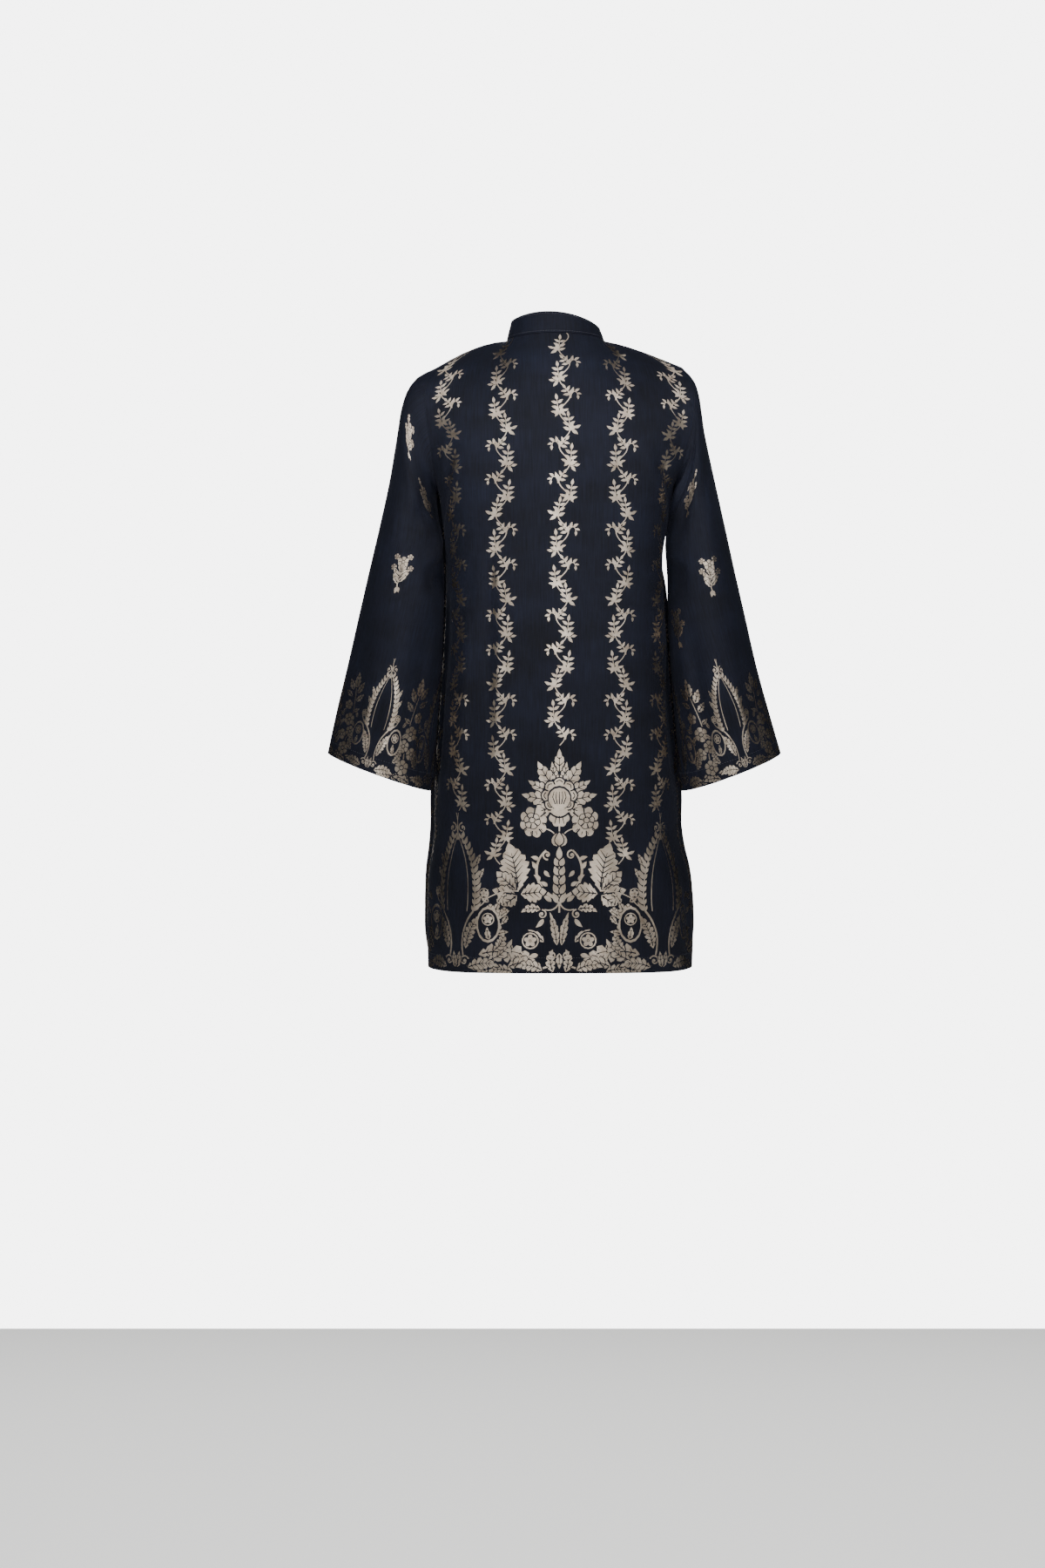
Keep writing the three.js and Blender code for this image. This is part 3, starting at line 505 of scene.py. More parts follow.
def tree_leaf_branch():
    """Three broad lobed leaves on one stalk, with a small flower spray under them."""
    shapes = placed(broad_leaf(63, 37, -12, 7), 0, 2, 7)
    shapes += placed(broad_leaf(34, 21, 10, 5), -3, 4, 52) + placed(broad_leaf(30, 18, 10, 4), -4, -2, 84)
    shapes += placed(broad_leaf(33, 25, 0, 5), 3, -2, -84)
    shapes += placed(broad_leaf(22, 17, 0, 4), -2, -4, 126)
    shapes += stroke(bow((0, 2), (-44, -10), -4), 1.8, 1.2)
    for x, y, turn in ((-18, -18, 20), (-30, -24, -20), (-14, -30, 150), (-38, -12, 60), (-26, -38, 190)):
        shapes += placed(leaf(14, 7, 16, 3, 2, 0.8), x, y, turn)
    for x, y, radius in ((-26, -28, 6.4), (-36, -20, 5.2), (-18, -24, 5)):
        shapes += placed(blossom(radius, 5), x, y)
    return shapes


def rose():
    """A full-blown rose seen from the side: two rows of petals that dark lines part, round a small heart."""
    shapes = round_shape(17.5, 8, 0.16, stretch=1.15) + petal_lines(8, (11, 20.35), (1.0, 1.3))
    shapes += round_shape(11.2, 6, 0.14, x=1, y=2, yarn=GROUND) + round_shape(10.2, 6, 0.16, x=1, y=2)
    shapes += petal_lines(6, (4, 10), (0.9, 1.1), 1, 2)
    shapes += round_shape(4.6, 5, 0.2, x=1, y=3, yarn=GROUND) + round_shape(3.3, 5, 0.2, x=1, y=3)
    for turn in (-150, -120, 120, 150, 180):
        shapes += placed(stroke([(0, 12.5), (0, 17)], 0.7, 0.4, GROUND), 0, 0, turn)
    return shapes


def bouquet():
    """The tall middle motif: a palmette of toothed leaves round
    a large flower, two roses, a cup and a leafy spear."""
    shapes = []
    for turn, length, width, foot in (
        (0, 44, 17, 244), (18, 30, 10, 242), (37, 42, 19, 236),
        (66, 36, 15, 230), (84, 40, 18, 222), (112, 34, 17, 214),
    ):
        for side in ((-1, 1) if turn else (1,)):
            blade = leaf(length, width, -12 * side if turn else 0, 5, 4, 1.2, edge=1.0)
            shapes += placed(blade, side * 9 * np.sin(np.radians(turn)), foot, -side * turn)
    shapes += round_shape(24, 8, 0.1, y=228, yarn=GROUND) + round_shape(22.4, 8, 0.16, y=228)
    for k in range(8):
        shapes += placed(stroke([(0, 15), (0, 23)], 1.0, 1.5, GROUND), 0, 228, 45 * k + 22.5)
        shapes += placed(stroke(bow((-4, 17), (4, 17), 2.5), 0.8, 0.8, GROUND), 0, 228, 45 * k)
    shapes += round_shape(15.6, yarn=GROUND, y=225) + round_shape(14, y=224)
    for x in (-8.5, -4.4, 0, 4.4, 8.5):
        shapes += stroke([(x * 0.6, 217), (x, 226), (x * 0.8, 233)], 0.9, 0.5, GROUND)
    shapes += round_shape(13.5, 7, 0.16, y=201) + stroke(bow((-12, 206), (12, 206), -6), 1.4, 1.4, GROUND)
    for x in (-6, 0, 6):
        shapes += stroke([(x * 0.6, 202), (x, 192)], 0.9, 0.5, GROUND)
    for side in (-1, 1):
        shapes += placed(rose(), side * 33, 194, side * -16, 1, side < 0)
        shapes += stroke(bow((side * 2, 172), (side * 22, 186), side * 4), 1.8, 1.2)
    shapes += stroke([(0, 164), (0, 190)], 1.8)
    for side in (-1, 1):
        shapes += placed(leaf(18, 10, -60 * side, edge=0.8), 3 * side, 163, -24 * side)
    shapes += placed(leaf(17, 11, edge=0.8), 0, 164)
    shapes += stroke([(0, 148), (0, 166)], 2.2)
    shapes += stroke([(0, 78), (0, 146)], 2.4, 1.4)
    for k in range(5):
        for side in (-1, 1):
            blade = leaf(17 - 1.4 * k, 7.4, -26 * side, edge=0.8)
            shapes += placed(blade, side * 1.0, 90 + 12 * k, -34 * side)
    shapes += placed(leaf(17, 8, edge=0.8), 0, 146)
    for side in (-1, 1):
        shapes += stroke(bow((side * 3, 96), (side * 29, 128), -side * 6, 9), 4.2, 3.2)
        shapes += stroke(bow((side * 29, 128), (side * 17, 158), -side * 4, 8), 3.2, 2.2)
        shapes += placed(volute(6.2, 1.1, 2.2), side * 15.5, 152, 80 if side > 0 else 100, 1, side < 0)
        for x, y, turn in ((24, 120, 42), (30, 134, 16), (26, 146, 60), (15, 112, 48), (19, 132, -150)):
            shapes += placed(leaf(11, 5.4, 26), side * x, y, -side * turn, 1, side < 0)
    return shapes


def scroll_foot():
    """The right half of the foot under the bouquet: a volute, a rosette in a
    ring, and long acanthus scrolls that sweep out over it and down to the hem."""
    shapes = stroke(bow((0, 92), (19, 82), -5), 2.2, 1.6) + placed(volute(6, 1.2, 2.0), 22, 76, 90)
    shapes += placed(acanthus(26, 11, 60, 4), 24, 82, -72) + placed(leaf(14, 6, 20), 10, 92, -44)
    shapes += placed(leaf(15, 6, -30), 20, 70, -150)
    shapes += placed(leaf(44, 10, 14, 5, 4, 0.8, edge=0.8), 3, 36, -6)
    shapes += placed(acanthus(88, 25, -74, 8), 104, 24, 74) + placed(acanthus(44, 15, 50, 5), 92, 16, 70)
    shapes += placed(acanthus(46, 15, -60, 5), 66, 8, 62) + placed(leaf(26, 9, 30, 3, 2, 0.9), 20, 40, -38)
    shapes += stroke(bow((8, 12), (54, 34), -17, 12), 2.4, 1.6)
    shapes += placed(leaf(22, 8, 30, 3, 2, 0.9), 46, 24, -66)
    shapes += placed(acanthus(36, 14, 60, 5), 22, 4, -58) + placed(acanthus(30, 12, -50, 4), 8, 2, -22)
    shapes += placed(acanthus(34, 13, 50, 5), 60, 2, -70) + placed(acanthus(30, 12, 40, 4), 92, 2, -60)
    shapes += placed(leaf(13, 6, 10), 27, 24, -100) + placed(volute(6, 1.1, 1.9), 10, 22, 60)
    shapes += round_shape(12.5, x=37, y=42, yarn=GROUND) + placed(rosette(10.8), 37, 42)
    return shapes + placed(leaf(20, 9, 0, 3, 2, 1.0, edge=0.8), 0, 26, 180)


def side_arch():
    """The right half of a tall pointed arch of feathery leaves,
    with a volute at its top and scrolls at its foot."""
    shapes = placed(volute(7.5, 1.2, 2.2), 9, 214, 90) + stroke(bow((1, 196), (2, 236), 2), 2, 1)
    rim = bow((30, 92), (2, 206), -13, 14)
    shapes += stroke(rim * (0.62, 0.96) + (0, 3), 1.6, 1.2)
    for k in range(13):
        x, y = rim[k]
        shapes += placed(leaf(18 - 0.5 * k, 6.4, -18, edge=0.6), x, y, -48 + 2 * k)
        shapes += placed(leaf(9, 4, 20), x, y, 28 + 2 * k)
    shapes += stroke(rim, 2.4, 1.8) + stroke(bow((30, 92), (12, 26), -9, 10), 3.2, 2.4)
    shapes += placed(acanthus(56, 17, 30, 7), 16, 36, -12)
    shapes += round_shape(18, x=52, y=72, stretch=1.5)
    shapes += round_shape(15.4, x=52, y=72, stretch=1.5, yarn=GROUND)
    shapes += placed(rosette(9.5), 52, 80) + placed(leaf(19, 9, 25, 3, 2, 0.9), 54, 50, 20)
    shapes += placed(rosette(8), 46, 118) + stroke(bow((33, 96), (52, 124), -6, 8), 2.2, 1.6)
    shapes += placed(acanthus(50, 18, 50, 6), 20, 8, -66) + placed(acanthus(34, 15, -80, 5), 60, 34, -60)
    shapes += placed(volute(8, 1.2, 2.3), 14, 18, 20) + placed(leaf(24, 10, 0, 4, 3, 0.9, edge=0.8), 2, 8, -8)
    for x, y, turn in ((66, 104, -30), (66, 58, -70), (70, 84, -50), (38, 140, -20), (34, 160, -14)):
        shapes += placed(leaf(17, 8, 20, 3, 2, 0.8), x, y, turn)
    return shapes


def mirrored(half, x=0.0):
    """Half a motif and its mirror image about its upright axis, at x."""
    return placed(half, x, 0) + placed(half, x, 0, 0, 1, True)


def sprig():
    """A small nosegay: a flower on a stalk, leafy twigs to each side and a tied foot."""
    shapes = stroke(bow((0, 0), (1, 30), 2), 1.4, 1.0) + placed(blossom(7, 6), 1, 34)
    for x, y, turn, long in (
        (0, 6, 40, 16), (0, 8, -36, 17), (1, 15, 56, 14), (1, 17, -50, 14), (1, 23, 30, 10), (1, 23, -34, 10),
    ):
        shapes += placed(leaf(long, 6, 14, 3, 2, 0.7), x, y, turn)
    for x, y in ((-10, 27), (12, 26), (-8, 40), (9, 41)):
        shapes += stroke([(0.5, 18), (x * 0.9, y)], 1.0, 0.8) + placed(blossom(4, 5), x, y)
    return shapes + placed(leaf(9, 5), 0, 2, 165) + placed(leaf(8, 4), 0, 2, -160)


def flower_stem():
    """An upright stem of open flowers with a leafy head."""
    shapes = stroke(bow((0, 2), (2, 118), 7, 12), 1.6, 1.2)
    for x, y, radius, petals in (
        (-4, 16, 10.5, 6), (6, 36, 8.6, 5), (-9, 44, 9.0, 6), (-1, 62, 10.0, 6), (7, 84, 7.4, 5),
    ):
        shapes += round_shape(radius + 1, x=x, y=y, yarn=GROUND) + placed(blossom(radius, petals), x, y)
    for x, y, turn, long in (
        (-6, 92, 50, 17), (-5, 104, 30, 20), (0, 112, 0, 24), (5, 108, -30, 20), (5, 98, -56, 16),
    ):
        shapes += placed(leaf(long, long * 0.5, 8, 4, 3, 0.9, edge=0.7), x, y, turn)
    for x, y, turn in ((-6, 76, 70), (12, 66, -60), (13, 22, -50), (-14, 30, 60), (12, 50, -40)):
        shapes += placed(leaf(12, 6, 16, 3, 2, 0.8), x, y, turn)
    return shapes


BOUQUET_REPEAT, ARCH_AXIS = 300, 136


def hem_border(half_width):
    """The deep border of a panel: bouquets, one at each repeat,
    arches between them, and lobed leaf sprays beside each."""
    shapes = []
    for axis in (-BOUQUET_REPEAT, 0, BOUQUET_REPEAT):
        shapes += placed(bouquet(), axis, 0) + mirrored(scroll_foot(), axis)
        for side in (-1, 1):
            shapes += placed(tree_leaf_branch(), axis + side * 52, 104, 0, 1, side > 0)
    for axis in (-ARCH_AXIS, ARCH_AXIS):
        shapes += mirrored(stretched(side_arch(), 0.86, 0.87), axis)
    return [(points, yarn) for points, yarn in shapes if np.abs(points[:, 0]).min() < half_width]


# Cloth laid on its form
# The cloth is one layer of a fine, light weave. Each piece
# is cut flat, figured, and then laid on its grid of points.


def on_grid(grid, row, column, closed=False):
    """The surface through a grid, by Catmull-Rom's cubic in
    both directions, and the flat facets between its points."""
    ahead = np.concatenate([2 * grid[:1] - grid[1:2], grid, 2 * grid[-1:] - grid[-2:-1]])
    if closed:
        before, after = ahead[:, -2:-1], ahead[:, 1:2]
    else:
        before, after = 2 * ahead[:, :1] - ahead[:, 1:2], 2 * ahead[:, -1:] - ahead[:, -2:-1]
    padded = np.concatenate([before, ahead, after], 1)
    i = np.clip(row.astype(int), 0, len(grid) - 2)
    j = np.clip(column.astype(int), 0, grid.shape[1] - 2)
    steps = np.arange(4)
    near = padded[(i[:, None] + steps)[:, :, None], (j[:, None] + steps)[:, None, :]]

    def weights(t):
        cubic = np.stack([
            -t + 2 * t ** 2 - t ** 3,
            2 - 5 * t ** 2 + 3 * t ** 3,
            t + 4 * t ** 2 - 3 * t ** 3,
            t ** 3 - t ** 2,
        ])
        flat = np.stack([0 * t, 1 - t, t, 0 * t])
        return cubic / 2, flat

    (up_cubic, up_flat), (across_cubic, across_flat) = weights(row - i), weights(column - j)
    smooth = np.einsum("nabk,an,bn->nk", near, up_cubic, across_cubic)
    return smooth, np.einsum("nabk,an,bn->nk", near, up_flat, across_flat)


def summed_lengths(grid, axis):
    """Distances along one axis of a grid, summed from its start."""
    steps = np.linalg.norm(np.diff(grid, axis=axis), axis=-1)
    return np.concatenate([np.zeros_like(np.take(steps, [0], axis)), np.cumsum(steps, axis)], axis)


SEAM_ROLL, SEAM_ROLL_WIDTH = 0.8, 2.4
CREASE_FADE = {"fade_share": 0.4, "most_fade": 60}
CREASES_HELD = (2, 26)
CLOTH_THICKNESS = 0.8
CELL, EDGE_CLEARANCE, SAME_PLACE = 6.0, 0.4, 1e-4
TOP_POINTS_A_COLUMN = 4
CUT = -1


class Cloth:
    """One cut piece: its flat plan, x to the right as seen
    from outside and y up, and how it lies on its form."""

    def __init__(self, grid, walls, creases, sewn, upright, closed=False):
        self.grid, self.walls, self.creases, self.sewn, self.closed = grid, walls, creases, sewn, closed
        middle = grid.shape[1] // 2
        flat = summed_lengths(grid, 1)
        self.flat_x = flat - flat[:, middle:middle + 1]
        self.flat_y = summed_lengths(grid[:, upright:upright + 1], 0)[:, 0]
        self.rows = np.arange(len(grid))

    def side(self, y, column):
        """How far out the left (0) or right (-1) edge is at a height."""
        return np.interp(y, self.flat_y, self.flat_x[:, column])

    def outline(self, step):
        """The piece's outline, anticlockwise, with a point about every step."""
        heights = np.unique(np.concatenate([
            np.linspace(low, high, max(int((high - low) / step + 0.5), 1) + 1)
            for low, high in zip(self.flat_y[:-1], self.flat_y[1:])
        ]))
        top = heights[-1]
        left_end, right_end = self.side(0, 0), self.side(0, -1)
        bottom_x = np.linspace(left_end, right_end, int((right_end - left_end) / step))
        columns = self.grid.shape[1]
        between = np.linspace(0, 1, TOP_POINTS_A_COLUMN * (columns - 1) + 1)
        top_x = np.interp(between, np.linspace(0, 1, columns), self.flat_x[-1])
        right = np.stack([self.side(heights, -1), heights], -1)[1:-1]
        left = np.stack([self.side(heights, 0), heights], -1)[1:-1]
        bottom = np.stack([bottom_x, 0 * bottom_x], -1)
        return np.concatenate([bottom, right, np.stack([top_x, 0 * top_x + top], -1)[::-1], left[::-1]])

    def grid_place(self, x, y):
        """The row and column of the form's grid that lie under a flat place."""
        row = np.interp(y, self.flat_y, self.rows)
        reach = np.where(x < 0, -self.side(y, 0), self.side(y, -1))
        share = np.clip(x / reach, -1, 1)
        columns = np.arange(self.grid.shape[1])
        ends = np.where(self.flat_x < 0, -self.flat_x[:, :1], self.flat_x[:, -1:])
        each = np.array([np.interp(share, line / end, columns) for line, end in zip(self.flat_x, ends)])
        low = np.clip(row.astype(int), 0, len(self.grid) - 2)
        pick = np.arange(len(x))
        return row, mix(each[low, pick], each[low + 1, pick], row - low)

    def lay(self, places):
        """Points and wall directions of flat places: the form's
        surface, moved out by the creases and in at the seams."""
        x, y = places.T
        row, column = self.grid_place(x, y)
        smooth, flat = on_grid(self.grid, row, column, self.closed)
        direction = unit(on_grid(self.walls, row, column, self.closed)[1])
        last_row, last_column = len(self.grid) - 1, self.grid.shape[1] - 1
        away = {"top": last_row - row, "sides": np.minimum(column, last_column - column), "bottom": row}
        near = np.minimum.reduce([away[edge] for edge in self.sewn])
        point = mix(flat, smooth, ease(near, 0, 1)[:, None])
        to_top = self.flat_y[-1] - y
        to_side = np.minimum(self.side(y, -1) - x, x - self.side(y, 0))
        seam = np.minimum(to_top, to_side) if "top" in self.sewn else to_side
        creased = ease(seam, *CREASES_HELD) * fold_lift(places, self.creases, **CREASE_FADE)
        lift = creased - SEAM_ROLL * np.exp(-(seam / SEAM_ROLL_WIDTH) ** 2)
        return point + direction * lift[:, None], direction

    def normals(self, places, step=0.6):
        """Outward directions, from the slopes of the laid cloth
        to each side of a place and above and below it."""
        (right, left), (above, below) = (
            [self.lay(places + sign * offset)[0] for sign in (1, -1)]
            for offset in (np.array([step, 0]), np.array([0, step]))
        )
        return unit(np.cross(right - left, above - below))


def places_within(cloth, outline, cell):
    """Places a cell apart all over a flat piece, each row half
    a cell aside of the last, and none close to its sides."""
    low, high = outline.min(0), outline.max(0)
    rows = np.arange(low[1] + cell / 2, high[1], cell)
    columns = np.arange(low[0] + cell / 2, high[0], cell)
    inner = np.stack(np.meshgrid(columns, rows), -1)
    inner[1::2, :, 0] += cell / 2
    inner = inner.reshape(-1, 2)
    side = np.minimum(inner[:, 0] - cloth.side(inner[:, 1], 0), cloth.side(inner[:, 1], -1) - inner[:, 0])
    return inner[side > cell * EDGE_CLEARANCE]


def woven(cloth, figures, cell=CELL):
    """The flat piece in triangles, with the figures' outlines as edges. Gives its
    places, its triangles and the yarn that shows in each; a figure of CUT is cut out."""
    outline = cloth.outline(cell)
    shapes = [(outline, GROUND)] + figures
    places = np.concatenate([points for points, _ in shapes] + [places_within(cloth, outline, cell)])
    starts = np.cumsum([0] + [len(points) for points, _ in shapes])
    faces = []
    for (points, _), start in zip(shapes, starts):
        ring = list(range(start, start + len(points)))
        x, y = points.T
        area = np.sum(x * np.roll(y, -1) - y * np.roll(x, -1))
        faces.append(ring if area > 0 else ring[::-1])
    result = delaunay_2d_cdt(places.tolist(), [], faces, 0, SAME_PLACE, True)
    yarns = [yarn for _, yarn in shapes]
    kept = [(corners, yarns[max(inside)]) for corners, inside in zip(result[2], result[5]) if 0 in inside]
    kept = [(corners, yarn) for corners, yarn in kept if yarn != CUT]
    triangles = np.array([corners for corners, _ in kept])
    used, triangles = np.unique(triangles, return_inverse=True)
    flat = np.array([tuple(place) for place in result[0]])[used]
    return flat, triangles.reshape(-1, 3), np.array([yarn for _, yarn in kept])


def open_edges(triangles, count):
    """The edges that only one triangle has, each in that triangle's own direction."""
    edges = np.concatenate([triangles[:, [0, 1]], triangles[:, [1, 2]], triangles[:, [2, 0]]])
    return edges[~np.isin(edges[:, 0] * count + edges[:, 1], edges[:, 1] * count + edges[:, 0])]


def inner_face(cloth, flat, triangles, cell=CELL):
    """The back of the cloth, where no figure shows: the same edge filled with plain triangles. Gives
    its places, its triangles, and for each edge place of the outer face its own place there."""
    following = dict(open_edges(triangles, len(flat)).tolist())
    loop = [min(following)]
    while following[loop[-1]] != loop[0]:
        loop.append(following[loop[-1]])
    places = np.concatenate([flat[loop], places_within(cloth, flat[loop], cell)])
    result = delaunay_2d_cdt(places.tolist(), [], [list(range(len(loop)))], 0, SAME_PLACE, True)
    kept = np.array([corners for corners, inside in zip(result[2], result[5]) if inside])
    used, kept = np.unique(kept, return_inverse=True)
    matching = np.zeros(len(flat), int)
    for at, place in enumerate(used):
        for source in result[3][place]:
            if source < len(loop):
                matching[loop[source]] = at
    return np.array([tuple(result[0][place]) for place in used]), kept.reshape(-1, 3), matching


def new_mesh_object(name, points, faces, materials, face_materials=None, flat=None, corner_normals=None):
    """A piece at the origin from points in mm and faces of
    any one size, with its cloth map and normals if given."""
    mesh = bpy.data.meshes.new(name)
    corners = faces.size
    mesh.vertices.add(len(points))
    mesh.vertices.foreach_set("co", (np.asarray(points) * 0.001).ravel())
    mesh.loops.add(corners)
    mesh.loops.foreach_set("vertex_index", faces.ravel())
    mesh.polygons.add(len(faces))
    mesh.polygons.foreach_set("loop_start", np.arange(0, corners, faces.shape[1]))
    if face_materials is not None:
        mesh.polygons.foreach_set("material_index", face_materials)
    mesh.update(calc_edges=True)
    mesh.polygons.foreach_set("use_smooth", np.ones(len(faces), bool))
    if flat is not None:
        layer = mesh.uv_layers.new(name="cloth")
        layer.uv.foreach_set("vector", (flat[faces.ravel()] * 0.001).ravel())
    for material in materials:
        mesh.materials.append(material)
    if corner_normals is not None:
        mesh.normals_split_custom_set(corner_normals)
    piece = bpy.data.objects.new(name, mesh)
    bpy.context.scene.collection.objects.link(piece)
    return piece


def shell(name, flat, triangles, yarns, laid, normals, thickness, materials, back=None):
    """A closed thin shell: the laid outer face, its back moved in by the
    thickness, and a rim round its edges. The back is the outer face again, or (its
    flat places, triangles, laid points, normals, and the rim's places in it)."""
    outer, direction = laid
    count = len(flat)
    inner_flat, inner_triangles, (inner, inner_direction), inner_normals, matching = back or (
        flat, triangles, laid, normals, np.arange(count))
    a, b = open_edges(triangles, count).T
    inner_a, inner_b = matching[a] + count, matching[b] + count
    rim_faces = np.concatenate([np.stack([b, a, inner_a], -1), np.stack([b, inner_a, inner_b], -1)])
    inner_faces = inner_triangles[:, ::-1]
    faces = np.concatenate([triangles, inner_faces + count, rim_faces])
    away = unit(np.cross(outer[b] - outer[a], direction[a]))
    rim_normals = np.repeat(np.tile(away, (2, 1))[:, None], 3, 1)
    each = [normals[triangles], -inner_normals[inner_faces], rim_normals]
    corner_normals = np.concatenate(each).reshape(-1, 3)
    face_materials = np.concatenate([yarns, np.full(len(faces) - len(yarns), GROUND)])
    points = np.concatenate([outer, inner - inner_direction * thickness])
    places = np.concatenate([flat, inner_flat])
    return new_mesh_object(name, points, faces, materials, face_materials, places, corner_normals)


def cloth_piece(name, cloth, figures, materials, thickness=CLOTH_THICKNESS, cell=CELL):
    """A cut piece, figured, laid on its form and given its thickness."""
    flat, triangles, yarns = woven(cloth, figures, cell)
    inner, inner_triangles, matching = inner_face(cloth, flat, triangles, cell)
    back = inner, inner_triangles, cloth.lay(inner), cloth.normals(inner), matching
    laid, normals = cloth.lay(flat), cloth.normals(flat)
    return shell(name, flat, triangles, yarns, laid, normals, thickness, materials, back)


# Black cloth
# A fine plain weave of cotton warp and silk weft, dyed near black with a cast of blue. Uneven warp
# threads run down it as faint streaks, and its nap gives it a soft bloom where light grazes it.


def linear(hex_code):
    """An sRGB hex colour as the linear one that Blender works in."""
    value = np.array([int(hex_code[i:i + 2], 16) for i in (0, 2, 4)]) / 255
    value = np.where(value <= 0.04045, value / 12.92, ((value + 0.055) / 1.055) ** 2.4)
    return (*value, 1.0)


def node(tree, kind, inputs=None, **settings):
    """Adds a node, gives it its settings, and sets each input to a value or links it from a socket."""
    added = tree.nodes.new(kind)
    for name, value in settings.items():
        setattr(added, name, value)
    for name, value in (inputs or {}).items():
        if isinstance(value, bpy.types.NodeSocket):
            tree.links.new(value, added.inputs[name])
        else:
            added.inputs[name].default_value = value
    return added


def new_material(name):
    """An empty material and its node tree."""
    material = bpy.data.materials.new(name)
    material.use_nodes = True
    material.node_tree.nodes.clear()
    return material, material.node_tree


def streaks(tree, per_mm_across, per_mm_up, detail=2.0):
    """Noise on the cloth's own map, stretched so that its
    streaks have the given counts per mm across and up."""
    place = node(tree, "ShaderNodeUVMap", uv_map="cloth")
    size = (per_mm_across * 1000, per_mm_up * 1000, 1)
    mapped = node(tree, "ShaderNodeMapping", {"Vector": place.outputs["UV"], "Scale": size})
    noise = node(tree, "ShaderNodeTexNoise", {
        "Vector": mapped.outputs["Vector"], "Scale": 1.0, "Detail": detail})
    return noise.outputs["Fac"]


def tones(tree, tone, low, high, dark, light):
    """A colour that goes from dark at the low value of the tone to light at its high one."""
    share = node(tree, "ShaderNodeMapRange", {"Value": tone, "From Min": low, "From Max": high})
    ramp = node(tree, "ShaderNodeValToRGB", {"Fac": share.outputs[0]})
    for element, colour in zip(ramp.color_ramp.elements, (dark, light)):
        element.color = linear(colour)
    return ramp.outputs["Color"]


def surface(tree, inputs):
    """Ends a material with a principled surface."""
    shader = node(tree, "ShaderNodeBsdfPrincipled", inputs)
    node(tree, "ShaderNodeOutputMaterial", {"Surface": shader.outputs[0]})


def black_cloth_material():
    """Dark blue-black weave, lighter along slubby warp threads 1.2 mm wide and about 30 mm long."""
    material, tree = new_material("black_cotton_silk_weave")
    slub = streaks(tree, 0.8, 0.03)
    thread = streaks(tree, 1.6, 1.6, 3.0)
    cloudy = streaks(tree, 0.012, 0.02)
    tone = node(tree, "ShaderNodeMath", {0: slub, 1: cloudy}, operation="ADD")
    colour = tones(tree, tone.outputs[0], 0.7, 1.4, "080a14", "141828")
    relief = node(tree, "ShaderNodeMath", {0: slub, 1: 0.6, 2: thread}, operation="MULTIPLY_ADD")
    bump = node(tree, "ShaderNodeBump", {"Strength": 0.35, "Distance": 0.0004, "Height": relief.outputs[0]})
    surface(tree, {
        "Base Color": colour, "Roughness": 0.8, "IOR": 1.3, "Sheen Weight": 0.05,
        "Sheen Roughness": 0.45, "Sheen Tint": linear("8a90a8"), "Normal": bump.outputs["Normal"]})
    return material


# Gold yarn
# A flat metallised yarn, dull antique gold, floated across the cloth as extra weft. Each float lies across
# the piece, so the figure is bright where it faces the light and falls to bronze where it turns away.


def gold_yarn_material():
    """Worn gold metal in fine floats across the cloth, drawn 0.7 mm apart so that they show."""
    material, tree = new_material("antique_gold_metal_yarn")
    floats = streaks(tree, 0.25, 1.4, 3.0)
    patchy = streaks(tree, 0.05, 0.05)
    tone = node(tree, "ShaderNodeMath", {0: floats, 1: 0.65, 2: patchy}, operation="MULTIPLY_ADD")
    colour = tones(tree, tone.outputs[0], 0.55, 1.1, "948676", "ccc0b1")
    bump = node(tree, "ShaderNodeBump", {"Strength": 0.5, "Distance": 0.0004, "Height": floats})
    run = node(tree, "ShaderNodeTangent", direction_type="UV_MAP", uv_map="cloth")
    surface(tree, {
        "Base Color": colour, "Metallic": 0.95, "Roughness": 0.5, "Anisotropic": 0.9,
        "Anisotropic Rotation": 0.25, "Tangent": run.outputs[0], "Normal": bump.outputs["Normal"]})
    return material


black_cloth, gold_yarn = black_cloth_material(), gold_yarn_material()

# Back panel
# One piece of figured cloth from the neck seam to the hem: seven vines climb it out of
# a deep border, the outer two at its side seams. In the border a tall bouquet stands
# between two pointed arches. It is hemmed at the foot and along the side slits.

BACK_CREASES = table("x y to_x to_y width depth", [
    (-88, 560, -92, 250, 7, -2.2),
    (-104, 545, -110, 300, 8, 1.6),
    (150, 600, 186, 520, 8, -2.4),
    (138, 640, 178, 560, 7, 1.6),
    (-150, 640, -196, 560, 8, -2.2),
    (60, 700, 120, 640, 10, -1.5),
    (-60, 705, -118, 655, 10, -1.4),
    (30, 520, 38, 330, 12, -1.2),
    (-30, 430, -26, 180, 12, 1.3),
    (175, 430, 168, 220, 9, -2.0),
    (-178, 400, -172, 200, 9, 2.0),
    (184, 660, 188, 535, 14, 4.5),
    (-182, 660, -186, 500, 14, 1.2),
    (90, 220, 104, 0, 11, 1.8),
    (-120, 200, -132, 0, 11, -1.8),
    (-48, 160, -56, 0, 12, 1.4),
    (40, 150, 46, 0, 12, -1.4),
])

# Each vine starts over its part of the border and leans a little on its way
# up. One that faces one way has 1, and one that is its mirror image has -1.
VINES = table("low_x high_x low_y faces", [
    (-204, -228, 140, 1), (-136, -150, 208, 1), (-76, -73, 140, 1), (0, 9, 292, 1),
    (76, 81, 140, -1), (136, 158, 208, -1), (204, 232, 140, -1),
])


PAST_TOP, PAST_SIDE = 10, 15


